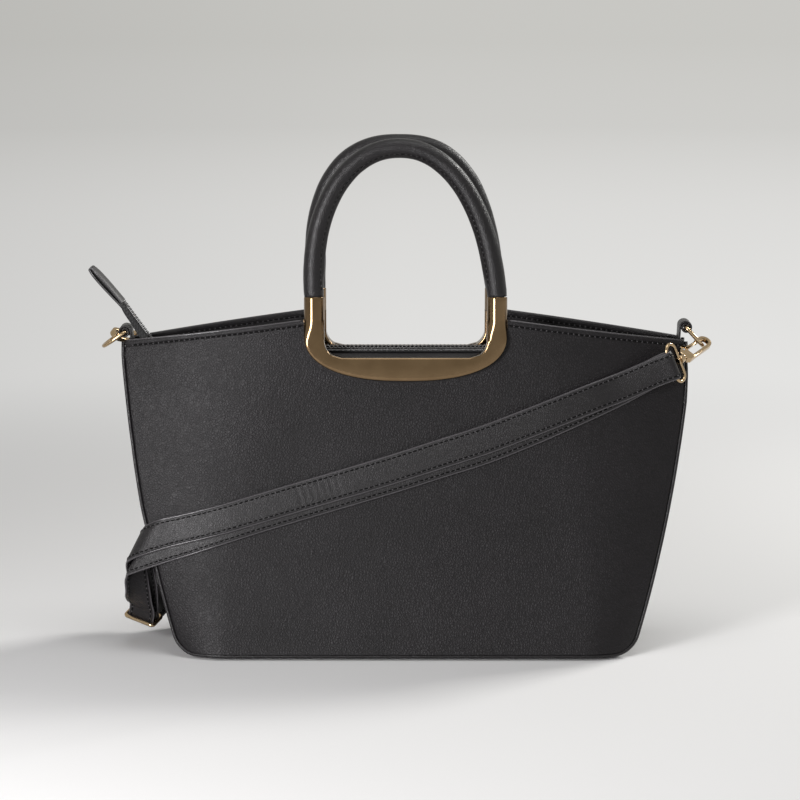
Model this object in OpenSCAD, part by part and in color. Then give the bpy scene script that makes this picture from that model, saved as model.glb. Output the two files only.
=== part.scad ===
// Top handle bag: black leather tote with two cast handle frames, a zipped mouth,
// a doubled shoulder strap on two swivel snap hooks, and a slide buckle.
// X runs across the bag, the front faces -Y, and Z is up. The origin is on the floor,
// under the middle of the bag.

/* [Body] */
// Width between the side seams at the base
base_w = 320; // [300:1:340]
// Width between the side seams at the top corners
top_w = 393; // [380:1:410]
// How far each side bows out between the corners
side_bow = 8; // [4:0.5:12]
// Height of the top corners above the floor
side_h = 223; // [215:1:232]
// Height of the top edge beside the handles
crown_h = 240; // [234:1:245]
// Depth of the base in the middle
base_d = 126; // [118:1:134]
// Depth of the base at the side seams
base_seam_d = 100; // [92:1:106]
// Depth of the mouth at the side seams
mouth_seam_d = 24; // [22:0.5:30]
// Depth of the mouth at the handle windows
mouth_d = 66; // [62:1:72]
// Inward lean of the upper faces, degrees
face_lean = 3; // [2:0.25:4]
// Height below which the faces swell out
swell_h = 185; // [175:1:190]
// Radius of the lower corners, seen from the front
corner_r = 11; // [8:0.5:14]
// Thickness of the panels
panel_t = 2.2; // [1.8:0.1:2.6]
// Thickness of the gussets
gusset_t = 1.8; // [1.4:0.1:2.2]
// Radius of the piping
piping_r = 1.3; // [1:0.1:1.6]
// Height of the feet
foot_h = 4.5; // [4:0.25:6]
// Radius of a foot's dome
foot_r = 4.5; // [4:0.25:6]
// Distance of the feet from the middle, across
foot_x = 128; // [115:1:134]
// Distance of the feet from the middle, in depth
foot_y = 40; // [34:1:44]
// Thickness of the base panel
base_t = 2.4; // [2:0.1:3]
// Thickness of the base board
board_t = 2; // [1.5:0.1:2.5]
// Thickness of the lining
lining_t = 0.8; // [0.6:0.1:1]
// Thickness of the facings inside the mouth
facing_t = 1.5; // [1.2:0.1:1.8]
// Height at which the facings start
facing_z = 195; // [190:1:198]

/* [Handles] */
// Height of the window's lower edge
window_z = 213.5; // [211:0.5:216]
// Half width of the window between the frame's legs
window_half_w = 57.6; // [54:0.2:60]
// Radius of the window's lower corners
window_r = 12; // [9:0.5:14]
// Height of the frame's rims above the window's lower edge
rim_h = 43; // [41:0.5:46]
// Depth of the frame below the window
frame_drop = 16.8; // [15:0.2:18]
// Width of the frame's legs, which is the outer diameter of the grip
grip_d = 14.5; // [13.5:0.1:15]
// Thickness of the casting in front of the panel
cast_t = 5.4; // [4.8:0.1:6]
// Thickness of the backing behind the facing
backing_t = 3.6; // [3:0.1:4]
// Wall of the grip's leather
grip_wall = 2.2; // [1.8:0.1:2.4]
// Depth of the sockets that hold the cores
socket_depth = 11; // [8:0.5:12]
// Rise of the arch above the rims, on its centre line
arch_rise = 104.5; // [98:0.5:110]
// Lean of the arches to the left at the top
arch_skew = 4.5; // [0:0.5:6]
// Stitched flange on the inner side of the grip
seam_flange = 2.4; // [1.5:0.1:3]

/* [Zip] */
// How far the underside of the zip tapes lies below the top of the sides
zip_drop = 8; // [7:0.1:8.5]
// Width of one zip tape
tape_w = 11.5; // [10:0.5:12]
// Thickness of the zip tapes
tape_t = 0.8; // [0.6:0.05:1]
// Height of the teeth above the tapes
tooth_h = 1.6; // [1.3:0.1:1.8]
// Distance from one tooth to the next
tooth_pitch = 3; // [2.5:0.25:4]
// How far the zip stops short of the right side
zip_right_in = 20.5; // [18.5:1:26.5]
// How far the sewn length of the zip stops short of the left side
zip_left_in = 30.5; // [28.5:1:36.5]
// Thickness of the leather strips that carry the zip
strip_t = 1.2; // [1:0.1:1.4]
// Length of the slider
slider_l = 10; // [8:0.5:12]
// Width of the slider
slider_w = 9; // [8:0.5:10]
// Length of the pull
pull_l = 26; // [20:1:27]
// Thickness of the leather end tab
end_tab_t = 5.2; // [4:0.2:6]
// Length of the leather end tab
end_tab_l = 32; // [28:1:36]

/* [Strap and hooks] */
// Width of the shoulder strap
strap_w = 20; // [18:0.5:21]
// Thickness of the shoulder strap
strap_t = 2.2; // [1.8:0.1:2.2]
// Radius of the ring wire
wire_r = 1.25; // [1.1:0.05:1.3]
// Half width of the D-rings, on the wire
dring_half_w = 11; // [10.5:0.25:12]
// Length of the D-rings' straight arms
dring_arm = 8.2; // [7:0.2:9]
// Outer radius of the leather ring loops
loop_r = 5; // [4.6:0.1:5.2]
// Width of the ring loops along the bar
loop_w = 18; // [15:0.5:18.5]
// Reach of a hook from its swivel to the outside of its claw
hook_reach = 33.4; // [33:0.2:34]
// Width inside the claw
claw_gap = 6; // [5.8:0.1:6.4]
// Wall of the claw
claw_wall = 2.3; // [2:0.1:2.6]
// Thickness of the claw
claw_t = 3.4; // [3:0.1:3.6]
// Radius of the swivel stud
stud_r = 1.6; // [1.4:0.05:1.8]
// Radius of the gate's pin
pin_r = 0.9; // [0.8:0.05:1]

/* [Hidden] */

// Clearances and overruns
// Gap between pieces that lie face to face
seat = 0.05;
// Gap of a piece that runs in another
run = 0.1;
// Gap between soft layers
lay = 0.3;
// Overrun of every cut
over = 1;
// Step used to find the slope of a surface
probe = 0.5;

// Height and ends of the zip
zip_z = side_h - zip_drop;
zip_right = top_w / 2 - zip_right_in;
zip_left = -top_w / 2 + zip_left_in;

leather = [0.09, 0.09, 0.095];
cloth = [0.16, 0.15, 0.15];
gold = [0.83, 0.66, 0.36];
steel = [0.7, 0.7, 0.72];
board = [0.3, 0.27, 0.24];

// Vectors and small sums
function unit(v) = v / norm(v);
function mix(a, b, t) = a + (b - a) * t;
function hold(t) = max(0, min(1, t));
function flip_y(p) = [p.x, -p.y, p.z];
function square_to(v, axis) = unit(v - (v * axis) * axis);

// Places a part drawn along X, with its thickness along Y, on its own axes
module on_axes(o, x_dir, y_dir) {
    z_dir = cross(x_dir, y_dir);
    multmatrix([
        [x_dir.x, y_dir.x, z_dir.x, o.x],
        [x_dir.y, y_dir.y, z_dir.y, o.y],
        [x_dir.z, y_dir.z, z_dir.z, o.z],
        [0, 0, 0, 1]
    ])
        children();
}

// A closed solid through rings of points, each ring with the same count. In a flat strip the second
// half of each ring is split the other way, so that both sides of the strip twist alike
module loft(rings, strip = false) {
    n = len(rings[0]);
    last = len(rings) - 1;
    polyhedron(
        points = [for (ring = rings) each ring],
        faces = concat(
            [[for (j = [0:n - 1]) j]],
            [for (i = [0:last - 1], j = [0:n - 1])
                let (a = i * n + j, b = i * n + (j + 1) % n)
                each (strip && 2 * j >= n
                    ? [[a, a + n, b], [b, a + n, b + n]]
                    : [[a, b + n, b], [a, a + n, b + n]])],
            [[for (j = [n - 1:-1:0]) last * n + j]]
        )
    );
}

// A closed sheet between an outer and an inner grid of points
module sheet(outer, inner) {
    rows = len(outer);
    n = len(outer[0]);
    all = rows * n;
    rim = concat(
        [for (j = [0:n - 1]) j],
        [for (i = [1:rows - 1]) i * n + n - 1],
        [for (j = [n - 2:-1:0]) (rows - 1) * n + j],
        [for (i = [rows - 2:-1:1]) i * n]
    );
    polyhedron(
        points = concat([for (row = outer) each row], [for (row = inner) each row]),
        faces = concat(
            [for (i = [0:rows - 2], j = [0:n - 2])
                let (a = i * n + j)
                each [[a, a + n, a + n + 1], [a, a + n + 1, a + 1]]],
            [for (i = [0:rows - 2], j = [0:n - 2])
                let (a = all + i * n + j)
                each [[a, a + n + 1, a + n], [a, a + 1, a + n + 1]]],
            [for (k = [0:len(rim) - 1])
                let (a = rim[k], b = rim[(k + 1) % len(rim)])
                each [[a, b, b + all], [a, b + all, a + all]]]
        )
    );
}

// Round tube rings along a path
function path_dir(path, i) =
    unit(path[min(i + 1, len(path) - 1)] - path[max(i - 1, 0)]);
function tube_ring(p, dir, side, r, sides) =
    let (u = square_to(side, dir), v = cross(dir, u))
    [for (k = [0:sides - 1]) p + r * (cos(360 * k / sides) * u + sin(360 * k / sides) * v)];
function tube_rings(path, r, side, sides) =
    [for (i = [0:len(path) - 1]) tube_ring(path[i], path_dir(path, i), side, r, sides)];

// Body surface
wall_share_top = 0.42;
wall_share_base = 0.8;
function rise_share(z) = hold((z - foot_h) / (side_h - foot_h));
function side_x(z) =
    let (s = rise_share(z))
    mix(base_w, top_w, s) / 2 + side_bow * 4 * s * (1 - s);
function corner_in(z) =
    let (rise = min(z - foot_h, corner_r))
    corner_r - sqrt(corner_r * corner_r - (corner_r - rise) * (corner_r - rise));
function edge_x(z) = side_x(z) - corner_in(z);
function seam_y(z) = mix(base_seam_d, mouth_seam_d, rise_share(z)) / 2;
function lean_y(z) = mouth_d / 2 + tan(face_lean) * (window_z - z);
function middle_y(z) =
    let (s = hold((swell_h - z) / (swell_h - foot_h)))
    lean_y(z) + (base_d / 2 - lean_y(foot_h)) * s * s;
function face_y(x, z) =
    let (
        u = abs(x) / side_x(z),
        flat = mix(wall_share_base, wall_share_top, rise_share(z)),
        fall = u <= flat ? 0 : (u - flat) / (1 - flat)
    )
    mix(middle_y(z), seam_y(z), fall * fall);
// Point and inward normal on the front face
function face_at(x, z) = [x, -face_y(x, z), z];
function face_in(x, z) = unit([
    (face_y(x + probe, z) - face_y(x - probe, z)) / (2 * probe),
    1,
    (face_y(x, z + probe) - face_y(x, z - probe)) / (2 * probe)
]);
function inside(x, z, depth) = face_at(x, z) + depth * face_in(x, z);
function top_z(x) =
    let (s = hold((abs(x) - frame_half_w) / (top_w / 2 - frame_half_w)))
    mix(crown_h, side_h, s);

frame_half_w = window_half_w + grip_d;
// Depth from the panel's face to the facing's back
clamp_t = panel_t + facing_t + 2 * seat;
// Gap between the frame's window and the panel's cut edge
notch_gap = 3;
notch_drop = 6.5;

// Columns of the face grids: place at the window's height, and drop of the cut edge there
// below the window's lower edge, or undef where the top edge runs through
columns = [
    [0, notch_drop], [window_half_w * 0.7, notch_drop], [window_half_w * 0.87, notch_drop * 0.85],
    [window_half_w * 0.98, notch_drop * 0.3], [window_half_w + notch_gap * 0.9, -window_r * 0.7],
    [window_half_w + notch_gap, undef], [frame_half_w * 1.17, undef], [top_w * 0.29, undef],
    [top_w * 0.36, undef], [top_w * 0.42, undef], [top_w * 0.475, undef], [top_w * 0.5, undef]
];
last_column = len(columns) - 1;
board_z = foot_h + base_t + seat;
// Heights of the rows: the corner's arc first, through the tops of the base panel and the board,
// then shares up to the facing and shares from there to the top edge
arc_steps = [0, acos(1 - base_t / corner_r), acos(1 - (board_z + board_t - foot_h) / corner_r), 71, 90];
row_shares = [0.25, 0.5, 0.75, 1];
upper_shares = [0.5, 1];
function column_top(k) = columns[k][1] == undef ? top_z(columns[k][0]) : window_z - columns[k][1];
function column_share(k) = columns[k][0] / side_x(window_z);
function panel_zs(top) = concat(
    [for (a = arc_steps) foot_h + corner_r * (1 - cos(a))],
    [for (s = row_shares) mix(foot_h + corner_r, facing_z, s)],
    [for (s = upper_shares) mix(facing_z, top, s)]
);
function signed_columns(last) = concat([for (k = [last:-1:1]) -k], [for (k = [0:last]) k]);
function column_x(k, z) = sign(k) * min(1, column_share(abs(k))) * edge_x(z);
function over_floor(p) = [p.x, p.y, max(p.z, foot_h)];
function panel_row(i, depth) =
    [for (k = signed_columns(last_column))
        let (z = panel_zs(column_top(abs(k)))[i])
        over_floor(inside(column_x(k, z), z, depth))];
function panel_grid(depth) =
    [for (i = [0:len(arc_steps) + len(row_shares) + len(upper_shares) - 1]) panel_row(i, depth)];

module face_panel() {
    sheet(panel_grid(0), panel_grid(panel_t));
}

module front_panel() {
    color(leather)
        face_panel();
}

module back_panel() {
    color(leather)
        mirror([0, 1, 0])
            face_panel();
}

// The facing follows the panel's inner side, from its own height to the top edge
function facing_grid(depth) =
    [for (s = concat([0], upper_shares))
        [for (k = signed_columns(last_column - 1))
            let (z = mix(facing_z, column_top(abs(k)), s))
            inside(column_x(k, z), z, depth)]];

module face_facing() {
    sheet(facing_grid(panel_t + seat), facing_grid(panel_t + seat + facing_t));
}

module front_facing() {
    color(leather)
        face_facing();
}

module back_facing() {
    color(leather)
        mirror([0, 1, 0])
            face_facing();
}

// Side wall: runs up the side from the rounded corner
seam_in = 3.4;
gusset_share_steps = [-1, -0.5, 0, 0.5, 1];
// Hollow of the gusset in the middle
gusset_hollow = 3;
gusset_zs = panel_zs(side_h - over);
function gusset_normal(i) =
    i < len(arc_steps) ? [-sin(arc_steps[i]), 0, cos(arc_steps[i])] : [-1, 0, 0];
function gusset_grid(depth) =
    [for (i = [0:len(gusset_zs) - 1])
        [for (s = gusset_share_steps)
            let (
                z = gusset_zs[i],
                x = edge_x(z),
                bow = sin(180 * rise_share(z)),
                hollow = gusset_hollow * bow * bow * (1 - s * s)
            )
            [x, s * (face_y(x, z) - seam_in), z] + (depth + hollow) * gusset_normal(i)]];

module gusset() {
    color(leather)
        sheet(gusset_grid(0), gusset_grid(gusset_t));
}

module right_gusset() {
    gusset();
}

module left_gusset() {
    mirror([1, 0, 0])
        gusset();
}

// Piping: down the side, round the corner and along the base
piping_out = piping_r + seat;
side_arc_xz = [for (i = [0:len(gusset_zs) - 1])
    let (z = gusset_zs[i], n = gusset_normal(i))
    [edge_x(z) - n.x * piping_out, -(face_y(edge_x(z), z) - seam_in / 2), z - n.z * piping_out]];
base_step_shares = [0.8, 0.55, 0.25];
piping_half = concat(
    [for (i = [len(side_arc_xz) - 1:-1:0]) side_arc_xz[i]],
    [for (s = base_step_shares)
        let (x = s * edge_x(foot_h))
        [x, -(face_y(x, foot_h) - seam_in / 2), foot_h - piping_out]]
);
piping_path = concat(
    piping_half,
    [for (i = [len(piping_half) - 1:-1:0]) [-piping_half[i].x, piping_half[i].y, piping_half[i].z]]
);

module face_piping() {
    loft(tube_rings(piping_path, piping_r, [0, 1, 0], 6));
}

module front_piping() {
    color(leather)
        face_piping();
}

module back_piping() {
    color(leather)
        mirror([0, 1, 0])
            face_piping();
}

// Base: outline inside the panels at one of their rows, drawn in by a gap
function base_outline(row, gap) =
    let (edge = panel_row(row, panel_t + gap))
    concat(
        [for (p = edge) [p.x, p.y]],
        [for (k = [len(edge) - 1:-1:0]) [edge[k].x, -edge[k].y]]
    );
foot_places = [for (sx = [-1, 1], sy = [-1, 1]) [sx * foot_x, sy * foot_y]];
foot_stem_r = 1.5;
foot_dome_top = foot_h - seat;
foot_rise_share = 0.75;
base_reach = edge_x(foot_h) - seat;
base_gap = 0.75;
board_reach = base_reach - gusset_t;

module base_plate(z, thick, row, reach, gap) {
    difference() {
        translate([0, 0, z])
            linear_extrude(thick)
                intersection() {
                    polygon(base_outline(row, gap));
                    square([2 * reach, base_d], center = true);
                }
        for (p = foot_places)
            translate([p.x, p.y, z - over])
                cylinder(r = foot_stem_r + run, h = thick + 2 * over, $fn = 32);
    }
}

module base_panel() {
    color(leather)
        base_plate(foot_h, base_t, 1, base_reach, base_gap);
}

module base_board() {
    color(board)
        base_plate(board_z, board_t, 2, board_reach - lay, lay);
}

foot_head_h = 1;
foot_top_z = board_z + board_t + seat;

module base_feet() {
    color(gold)
        for (p = foot_places)
            translate([p.x, p.y, 0])
                rotate_extrude($fn = 48)
                    polygon([
                        [0, 0], [foot_r * 0.5, 0], [foot_r * 0.8, foot_h * 0.12],
                        [foot_r * 0.95, foot_h * 0.32], [foot_r, foot_h * foot_rise_share],
                        [foot_r * 0.97, foot_dome_top], [foot_stem_r, foot_dome_top],
                        [foot_stem_r, foot_top_z], [foot_stem_r * 2, foot_top_z],
                        [foot_stem_r * 2, foot_top_z + foot_head_h], [0, foot_top_z + foot_head_h]
                    ]);
}

// Lining: an open bag inside the panels and gussets, below the facings
lining_floor_z = foot_top_z + foot_head_h + lay;
lining_top_z = facing_z - 2 * lay;
lining_row_shares = [0, 0.04, 0.15, 0.4, 0.7, 1];
lining_gap = 0.9;
lining_side_gap = gusset_t + gusset_hollow + lay;
lining_shares = [-1, -0.85, -0.6, -0.3, 0, 0.3, 0.6, 0.85, 1];
function lining_ring(z, depth) =
    let (
        reach = edge_x(z) - lining_side_gap - depth,
        half = [for (s = lining_shares) inside(s * reach, z, panel_t + lining_gap + depth)],
        flat = [for (p = half) [p.x, p.y, z]]
    )
    concat(flat, [for (k = [len(flat) - 1:-1:0]) flip_y(flat[k])]);
lining_outer_zs = [for (s = lining_row_shares) mix(lining_floor_z, lining_top_z, s)];
lining_inner_zs = [for (s = lining_row_shares) mix(lining_floor_z + lining_t, lining_top_z, s)];

module lining() {
    rows = len(lining_row_shares) - 1;
    color(cloth)
        loft(concat(
            [for (i = [0:rows]) lining_ring(lining_outer_zs[i], 0)],
            [for (i = [rows:-1:0]) lining_ring(lining_inner_zs[i], lining_t)]
        ));
}

// Handle frame, drawn flat: X across, Y out of the back of the panel, Z up from the window's edge
rim_power = 2.4;
panel_top_local = crown_h - window_z;
frame_mid_z = 17;
loop_steps = 28;
function oval(t, power) = [
    sign(cos(t)) * pow(abs(cos(t)), 2 / power),
    sign(sin(t)) * pow(abs(sin(t)), 2 / power)
];
// Outer outline of the casting for a turn from 180, left, through 270, below, to 360, right
function cast_outer(t) =
    let (o = oval(t, rim_power))
    [frame_half_w * o.x, frame_mid_z + (frame_drop + frame_mid_z) * o.y];
// The point of the window's edge that faces an outer point
function cast_inner(t) =
    let (
        o = cast_outer(t),
        flat_x = window_half_w - window_r,
        x = max(-flat_x, min(flat_x, o.x * 0.8)),
        centre = [x, window_r],
        away = abs(x) < flat_x ? [0, -1] : unit([o.x - x, min(o.y - window_r, 0)])
    )
    centre + window_r * away;
// Domed section from the inner edge round the front to the outer edge
dome_shares = [[0, 0], [0, 0.55], [0.16, 0.9], [0.5, 1], [0.84, 0.9], [1, 0.55], [1, 0]];
function cast_ring(inner, outer, y_back, thick) = [
    for (d = dome_shares)
        let (p = mix(inner, outer, d[0]))
        [p.x, y_back - thick * d[1], p.y]
];
function cast_stations(top) = concat(
    [[[-window_half_w, top], [-frame_half_w, top]]],
    [for (i = [0:loop_steps])
        let (t = 180 + 180 * i / loop_steps)
        [cast_inner(t), cast_outer(t)]],
    [[[window_half_w, top], [frame_half_w, top]]]
);
leg_x = window_half_w + grip_d / 2;
// Depth of the grip's axis behind the face of the panel
grip_y = clamp_t / 2;
core_r = grip_d / 2 - grip_wall;
socket_r = core_r + run;
post_places = [for (s = [-0.72, -0.3, 0.3, 0.72]) s * window_half_w];
post_z = -notch_drop / 2;
post_r = 1.7;
screw_r = 0.8;
screw_head_r = 1.9;
screw_head_h = 1.1;
lip_t = 1.3;

// The rim of the window, which covers the panel's cut edge
function window_outline(grow, top) = concat(
    [[-window_half_w - grow, top]],
    [for (a = [180:15:270])
        [-(window_half_w - window_r), window_r] + (window_r + grow) * [cos(a), sin(a)]],
    [for (a = [270:15:360])
        [window_half_w - window_r, window_r] + (window_r + grow) * [cos(a), sin(a)]],
    [[window_half_w + grow, top]]
);

module window_lip() {
    translate([0, clamp_t, 0])
        rotate([90, 0, 0])
            linear_extrude(clamp_t + over)
                difference() {
                    polygon(window_outline(lip_t, panel_top_local));
                    polygon(window_outline(seat, panel_top_local + over));
                }
}

module front_casting() {
    difference() {
        union() {
            loft([for (s = cast_stations(panel_top_local + over))
                cast_ring(s[0], s[1], -seat, cast_t)]);
            for (sx = [-1, 1])
                translate([sx * leg_x, grip_y, panel_top_local + seat])
                    cylinder(r = grip_d / 2, h = rim_h - panel_top_local - seat, $fn = 64);
            window_lip();
            for (x = post_places)
                translate([x, clamp_t, post_z])
                    rotate([90, 0, 0])
                        cylinder(r = post_r, h = clamp_t + over, $fn = 24);
        }
        for (sx = [-1, 1])
            translate([sx * leg_x, grip_y, rim_h - socket_depth])
                cylinder(r = socket_r, h = socket_depth + over, $fn = 64);
        for (x = post_places)
            translate([x, clamp_t + over, post_z])
                rotate([90, 0, 0])
                    cylinder(r = screw_r + seat, h = clamp_t + over, $fn = 24);
    }
}

module rear_backing() {
    difference() {
        loft([for (s = cast_stations(panel_top_local - seat))
            let (ring = cast_ring(s[0], s[1], 0, backing_t))
            [for (k = [len(ring) - 1:-1:0]) [ring[k].x, clamp_t + seat - ring[k].y, ring[k].z]]]);
        for (x = post_places)
            translate([x, clamp_t + backing_t + over, post_z])
                rotate([90, 0, 0]) {
                    cylinder(r = screw_r + run, h = backing_t + 2 * over, $fn = 24);
                    cylinder(r = screw_head_r + run, h = over + screw_head_h, $fn = 24);
                }
    }
}

// Stands a handle part on the front face
module on_front() {
    translate([0, -lean_y(window_z), window_z])
        rotate([-face_lean, 0, 0])
            children();
}

module on_back() {
    mirror([0, 1, 0])
        on_front()
            children();
}

module front_handle_frame() {
    color(gold)
        on_front()
            front_casting();
}

module back_handle_frame() {
    color(gold)
        on_back()
            front_casting();
}

module front_handle_backing() {
    color(gold)
        on_front()
            rear_backing();
}

module back_handle_backing() {
    color(gold)
        on_back()
            rear_backing();
}

module screw_row() {
    for (x = post_places)
        translate([x, clamp_t + backing_t - seat, post_z])
            rotate([90, 0, 0]) {
                cylinder(r = screw_head_r, h = screw_head_h - seat, $fn = 24);
                cylinder(r = screw_r, h = backing_t + clamp_t * 0.6, $fn = 24);
            }
}

module frame_screws() {
    color(steel) {
        on_front()
            screw_row();
        on_back()
            screw_row();
    }
}

// Arch of a grip, on its centre line, drawn flat
front_arch_power = 2.1;
back_arch_power = 2.5;
arch_steps = 24;
function arch_at(t, power) =
    let (o = oval(t, power), lift = abs(o.y))
    [leg_x * o.x - arch_skew * (1 - (1 - lift) * (1 - lift)), grip_y, rim_h + arch_rise * lift];
function arch_path(power, start) = concat(
    start > 0 ? [[-leg_x, grip_y, rim_h - start]] : [],
    [for (i = [0:arch_steps]) arch_at(180 - 180 * i / arch_steps, power) + [0, 0, seat]],
    start > 0 ? [[leg_x, grip_y, rim_h - start]] : []
);
arch_middle = [0, grip_y, rim_h + arch_rise * 0.3];
function inward(p, dir) = square_to(arch_middle - p, dir);
function end_dir(path, i) =
    i == 0 || i == len(path) - 1 ? [0, 0, i == 0 ? 1 : -1] : path_dir(path, i);
cover_sides = 10;
cover_bore_sides = 8;
cover_bore_r = core_r + run;
// Outer ring of the cover, with the stitched flange on its inner side
function cover_ring(p, dir) =
    let (u = inward(p, dir), v = cross(dir, u))
    [for (k = [0:cover_sides - 1])
        let (a = 360 * k / cover_sides, r = grip_d / 2 + (k == 0 ? seam_flange : 0))
        p + r * (cos(a) * u + sin(a) * v)];

module grip_core(power) {
    path = arch_path(power, socket_depth - lay);
    loft([for (i = [0:len(path) - 1])
        tube_ring(path[i], end_dir(path, i), inward(path[i], end_dir(path, i)), core_r, 8)]);
}

module grip_cover(power) {
    path = arch_path(power, 0);
    difference() {
        loft([for (i = [0:len(path) - 1]) cover_ring(path[i], end_dir(path, i))]);
        grip_bore(power);
    }
}

module grip_bore(power) {
    path = arch_path(power, over);
    loft([for (i = [0:len(path) - 1])
        tube_ring(
            path[i], end_dir(path, i), inward(path[i], end_dir(path, i)),
            cover_bore_r, cover_bore_sides
        )]);
}

module front_handle_core() {
    color(cloth)
        on_front()
            grip_core(front_arch_power);
}

module back_handle_core() {
    color(cloth)
        on_back()
            grip_core(back_arch_power);
}

module front_handle_cover() {
    color(leather)
        on_front()
            grip_cover(front_arch_power);
}

module back_handle_cover() {
    color(leather)
        on_back()
            grip_cover(back_arch_power);
}

// Zip: strips from the facings, tapes on the strips, teeth on the tapes
tape_gap = 1.3;
strip_in_y = tape_w - 0.5;
strip_drop = 4;
// Stations of the strip, with the step behind each handle's backing
strip_xs = [
    zip_left, zip_left * 0.85, zip_left * 0.65, -frame_half_w - notch_gap, -frame_half_w - lay,
    frame_half_w + lay, frame_half_w + notch_gap, zip_right * 0.65, zip_right * 0.85, zip_right
];
function strip_out_y(x) =
    let (z = zip_z - strip_drop, skin = clamp_t + 2 * lay + (abs(x) > frame_half_w + over ? 0 : backing_t))
    -inside(x, z, skin).y;
function strip_grid(depth) =
    [for (s = [0, 0.5, 1])
        [for (x = strip_xs)
            [x, -mix(strip_out_y(x), strip_in_y, s), zip_z - seat - strip_drop * (1 - s) - depth]]];

module zip_strip() {
    sheet(strip_grid(0), strip_grid(strip_t));
}

module front_zip_strip() {
    color(leather)
        zip_strip();
}

module back_zip_strip() {
    color(leather)
        mirror([0, 1, 0])
            zip_strip();
}

module zip_tape() {
    translate([zip_left, -tape_gap - tape_w, zip_z])
        cube([zip_right - zip_left, tape_w, tape_t]);
}

module front_zip_tape() {
    color(cloth)
        zip_tape();
}

module back_zip_tape() {
    color(cloth)
        mirror([0, 1, 0])
            zip_tape();
}

// Teeth: a comb whose tips stop at the slider's web
web_gap = 0.35;
tooth_out = 3;
comb_spine_y = 1.7;
tooth_share = 0.55;
teeth_right = zip_right - slider_l - 2 * over;
teeth_z = zip_z + tape_t;
tooth_count = floor((teeth_right - zip_left) / tooth_pitch) - 1;
function comb(shift) = concat(
    [[zip_left, -tooth_out]],
    [[zip_left, -comb_spine_y]],
    [for (i = [0:tooth_count - 1])
        let (x = zip_left + tooth_pitch * (i + 0.2 + shift))
        each [
            [x, -comb_spine_y], [x, -web_gap],
            [x + tooth_pitch * tooth_share, -web_gap], [x + tooth_pitch * tooth_share, -comb_spine_y]
        ]],
    [[teeth_right, -comb_spine_y]],
    [[teeth_right, -tooth_out]]
);

module front_zip_teeth() {
    color(cloth)
        translate([0, 0, teeth_z])
            linear_extrude(tooth_h)
                polygon(comb(0));
}

module back_zip_teeth() {
    color(cloth)
        translate([0, 0, teeth_z])
            mirror([0, 1, 0])
                linear_extrude(tooth_h)
                    polygon(comb(0.4));
}

stop_l = 2;

module zip_stops() {
    color(gold)
        for (sy = [-1, 1])
            translate([zip_right - stop_l, sy * (tape_gap + tooth_out) / 2 - tooth_out / 4, teeth_z])
                cube([stop_l, tooth_out / 2, tooth_h]);
}

// Slider at the closed end: plates above and below the tapes, joined by a web between them
slider_plate = 1.3;
slider_x = zip_right - stop_l - slider_l - seat;
slider_under = 1.2;
lug_r = 1.6;
lug_z = teeth_z + tooth_h + run + slider_plate + lug_r;
lug_x = slider_x + slider_l / 2;
lug_t = 1.6;
lug_bore = 0.7;

module zip_slider() {
    top_z = teeth_z + tooth_h + run;
    color(gold) {
        difference() {
            union() {
                translate([slider_x, -slider_w / 2, top_z])
                    cube([slider_l, slider_w, slider_plate]);
                for (sy = [0, 1])
                    mirror([0, sy, 0])
                        translate([slider_x, tooth_out + run, teeth_z + run])
                            cube([slider_l, slider_w / 2 - tooth_out - run, tooth_h + over]);
                translate([slider_x, -strip_in_y + run, zip_z - run - slider_under])
                    cube([slider_l, 2 * (strip_in_y - run), slider_under]);
                translate([slider_x + slider_l * 0.3, -web_gap + run, zip_z - run - slider_under])
                    cube([slider_l * 0.4, 2 * (web_gap - run), top_z - zip_z + slider_under + over]);
                translate([lug_x, lug_t / 2, lug_z])
                    rotate([90, 0, 0])
                        cylinder(r = lug_r, h = lug_t, $fn = 32);
                translate([lug_x - lug_r, -lug_t / 2, top_z + slider_plate / 2])
                    cube([2 * lug_r, lug_t, lug_z - top_z - slider_plate / 2]);
            }
            translate([lug_x, lug_t / 2 + over, lug_z])
                rotate([90, 0, 0])
                    cylinder(r = lug_bore + seat, h = lug_t + 2 * over, $fn = 24);
        }
    }
}

pull_fork_t = 1.1;
pull_w = 2 * (lug_t / 2 + run + pull_fork_t);
pull_t = 2;
pull_clear = lug_r + lay;

module zip_pull() {
    color(gold)
        translate([lug_x, 0, lug_z]) {
            rotate([90, 0, 0])
                translate([0, 0, -pull_w / 2])
                    cylinder(r = lug_bore, h = pull_w, $fn = 24);
            for (sy = [-1, 1])
                translate([-pull_clear - over, sy * (pull_w - pull_fork_t) / 2 - pull_fork_t / 2, -pull_t / 2])
                    cube([pull_clear + over + lug_bore, pull_fork_t, pull_t]);
            translate([-pull_l, -pull_w / 2, -pull_t / 2])
                cube([pull_l - pull_clear, pull_w, pull_t]);
        }
}

// Free end of the zip: a ridge that rises over the left corner
tail_hinge = [zip_left - over, 0, zip_z + tape_t / 2];
tail_steps = [
    [-1.6, 0.9], [-6, 1.2], [-11.4, 3], [-16.4, 6.6], [-21, 12.6],
    [-25.2, 19], [-29.2, 25], [-33, 30.8], [-36.2, 35.6]
];
tail_ridge = [for (p = tail_steps) [zip_left, zip_z] + p];
tail_flap_shares = [0.95, 0.95, 0.85, 0.72, 0.64, 0.62, 0.7, 0.7, 0.6];
tail_fold_angles = [4, 8, 20, 36, 46, 50, 46, 34, 14];
function tail_dir(i) =
    let (
        a = tail_ridge[max(i - 1, 0)],
        b = tail_ridge[min(i + 1, len(tail_ridge) - 1)],
        d = unit([b.x - a.x, 0, b.y - a.y])
    )
    d;
function tail_up(i) = cross(tail_dir(i), [0, -1, 0]);
function tail_point(i, y, drop) =
    [tail_ridge[i].x, y, tail_ridge[i].y] - drop * tail_up(i);
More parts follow.
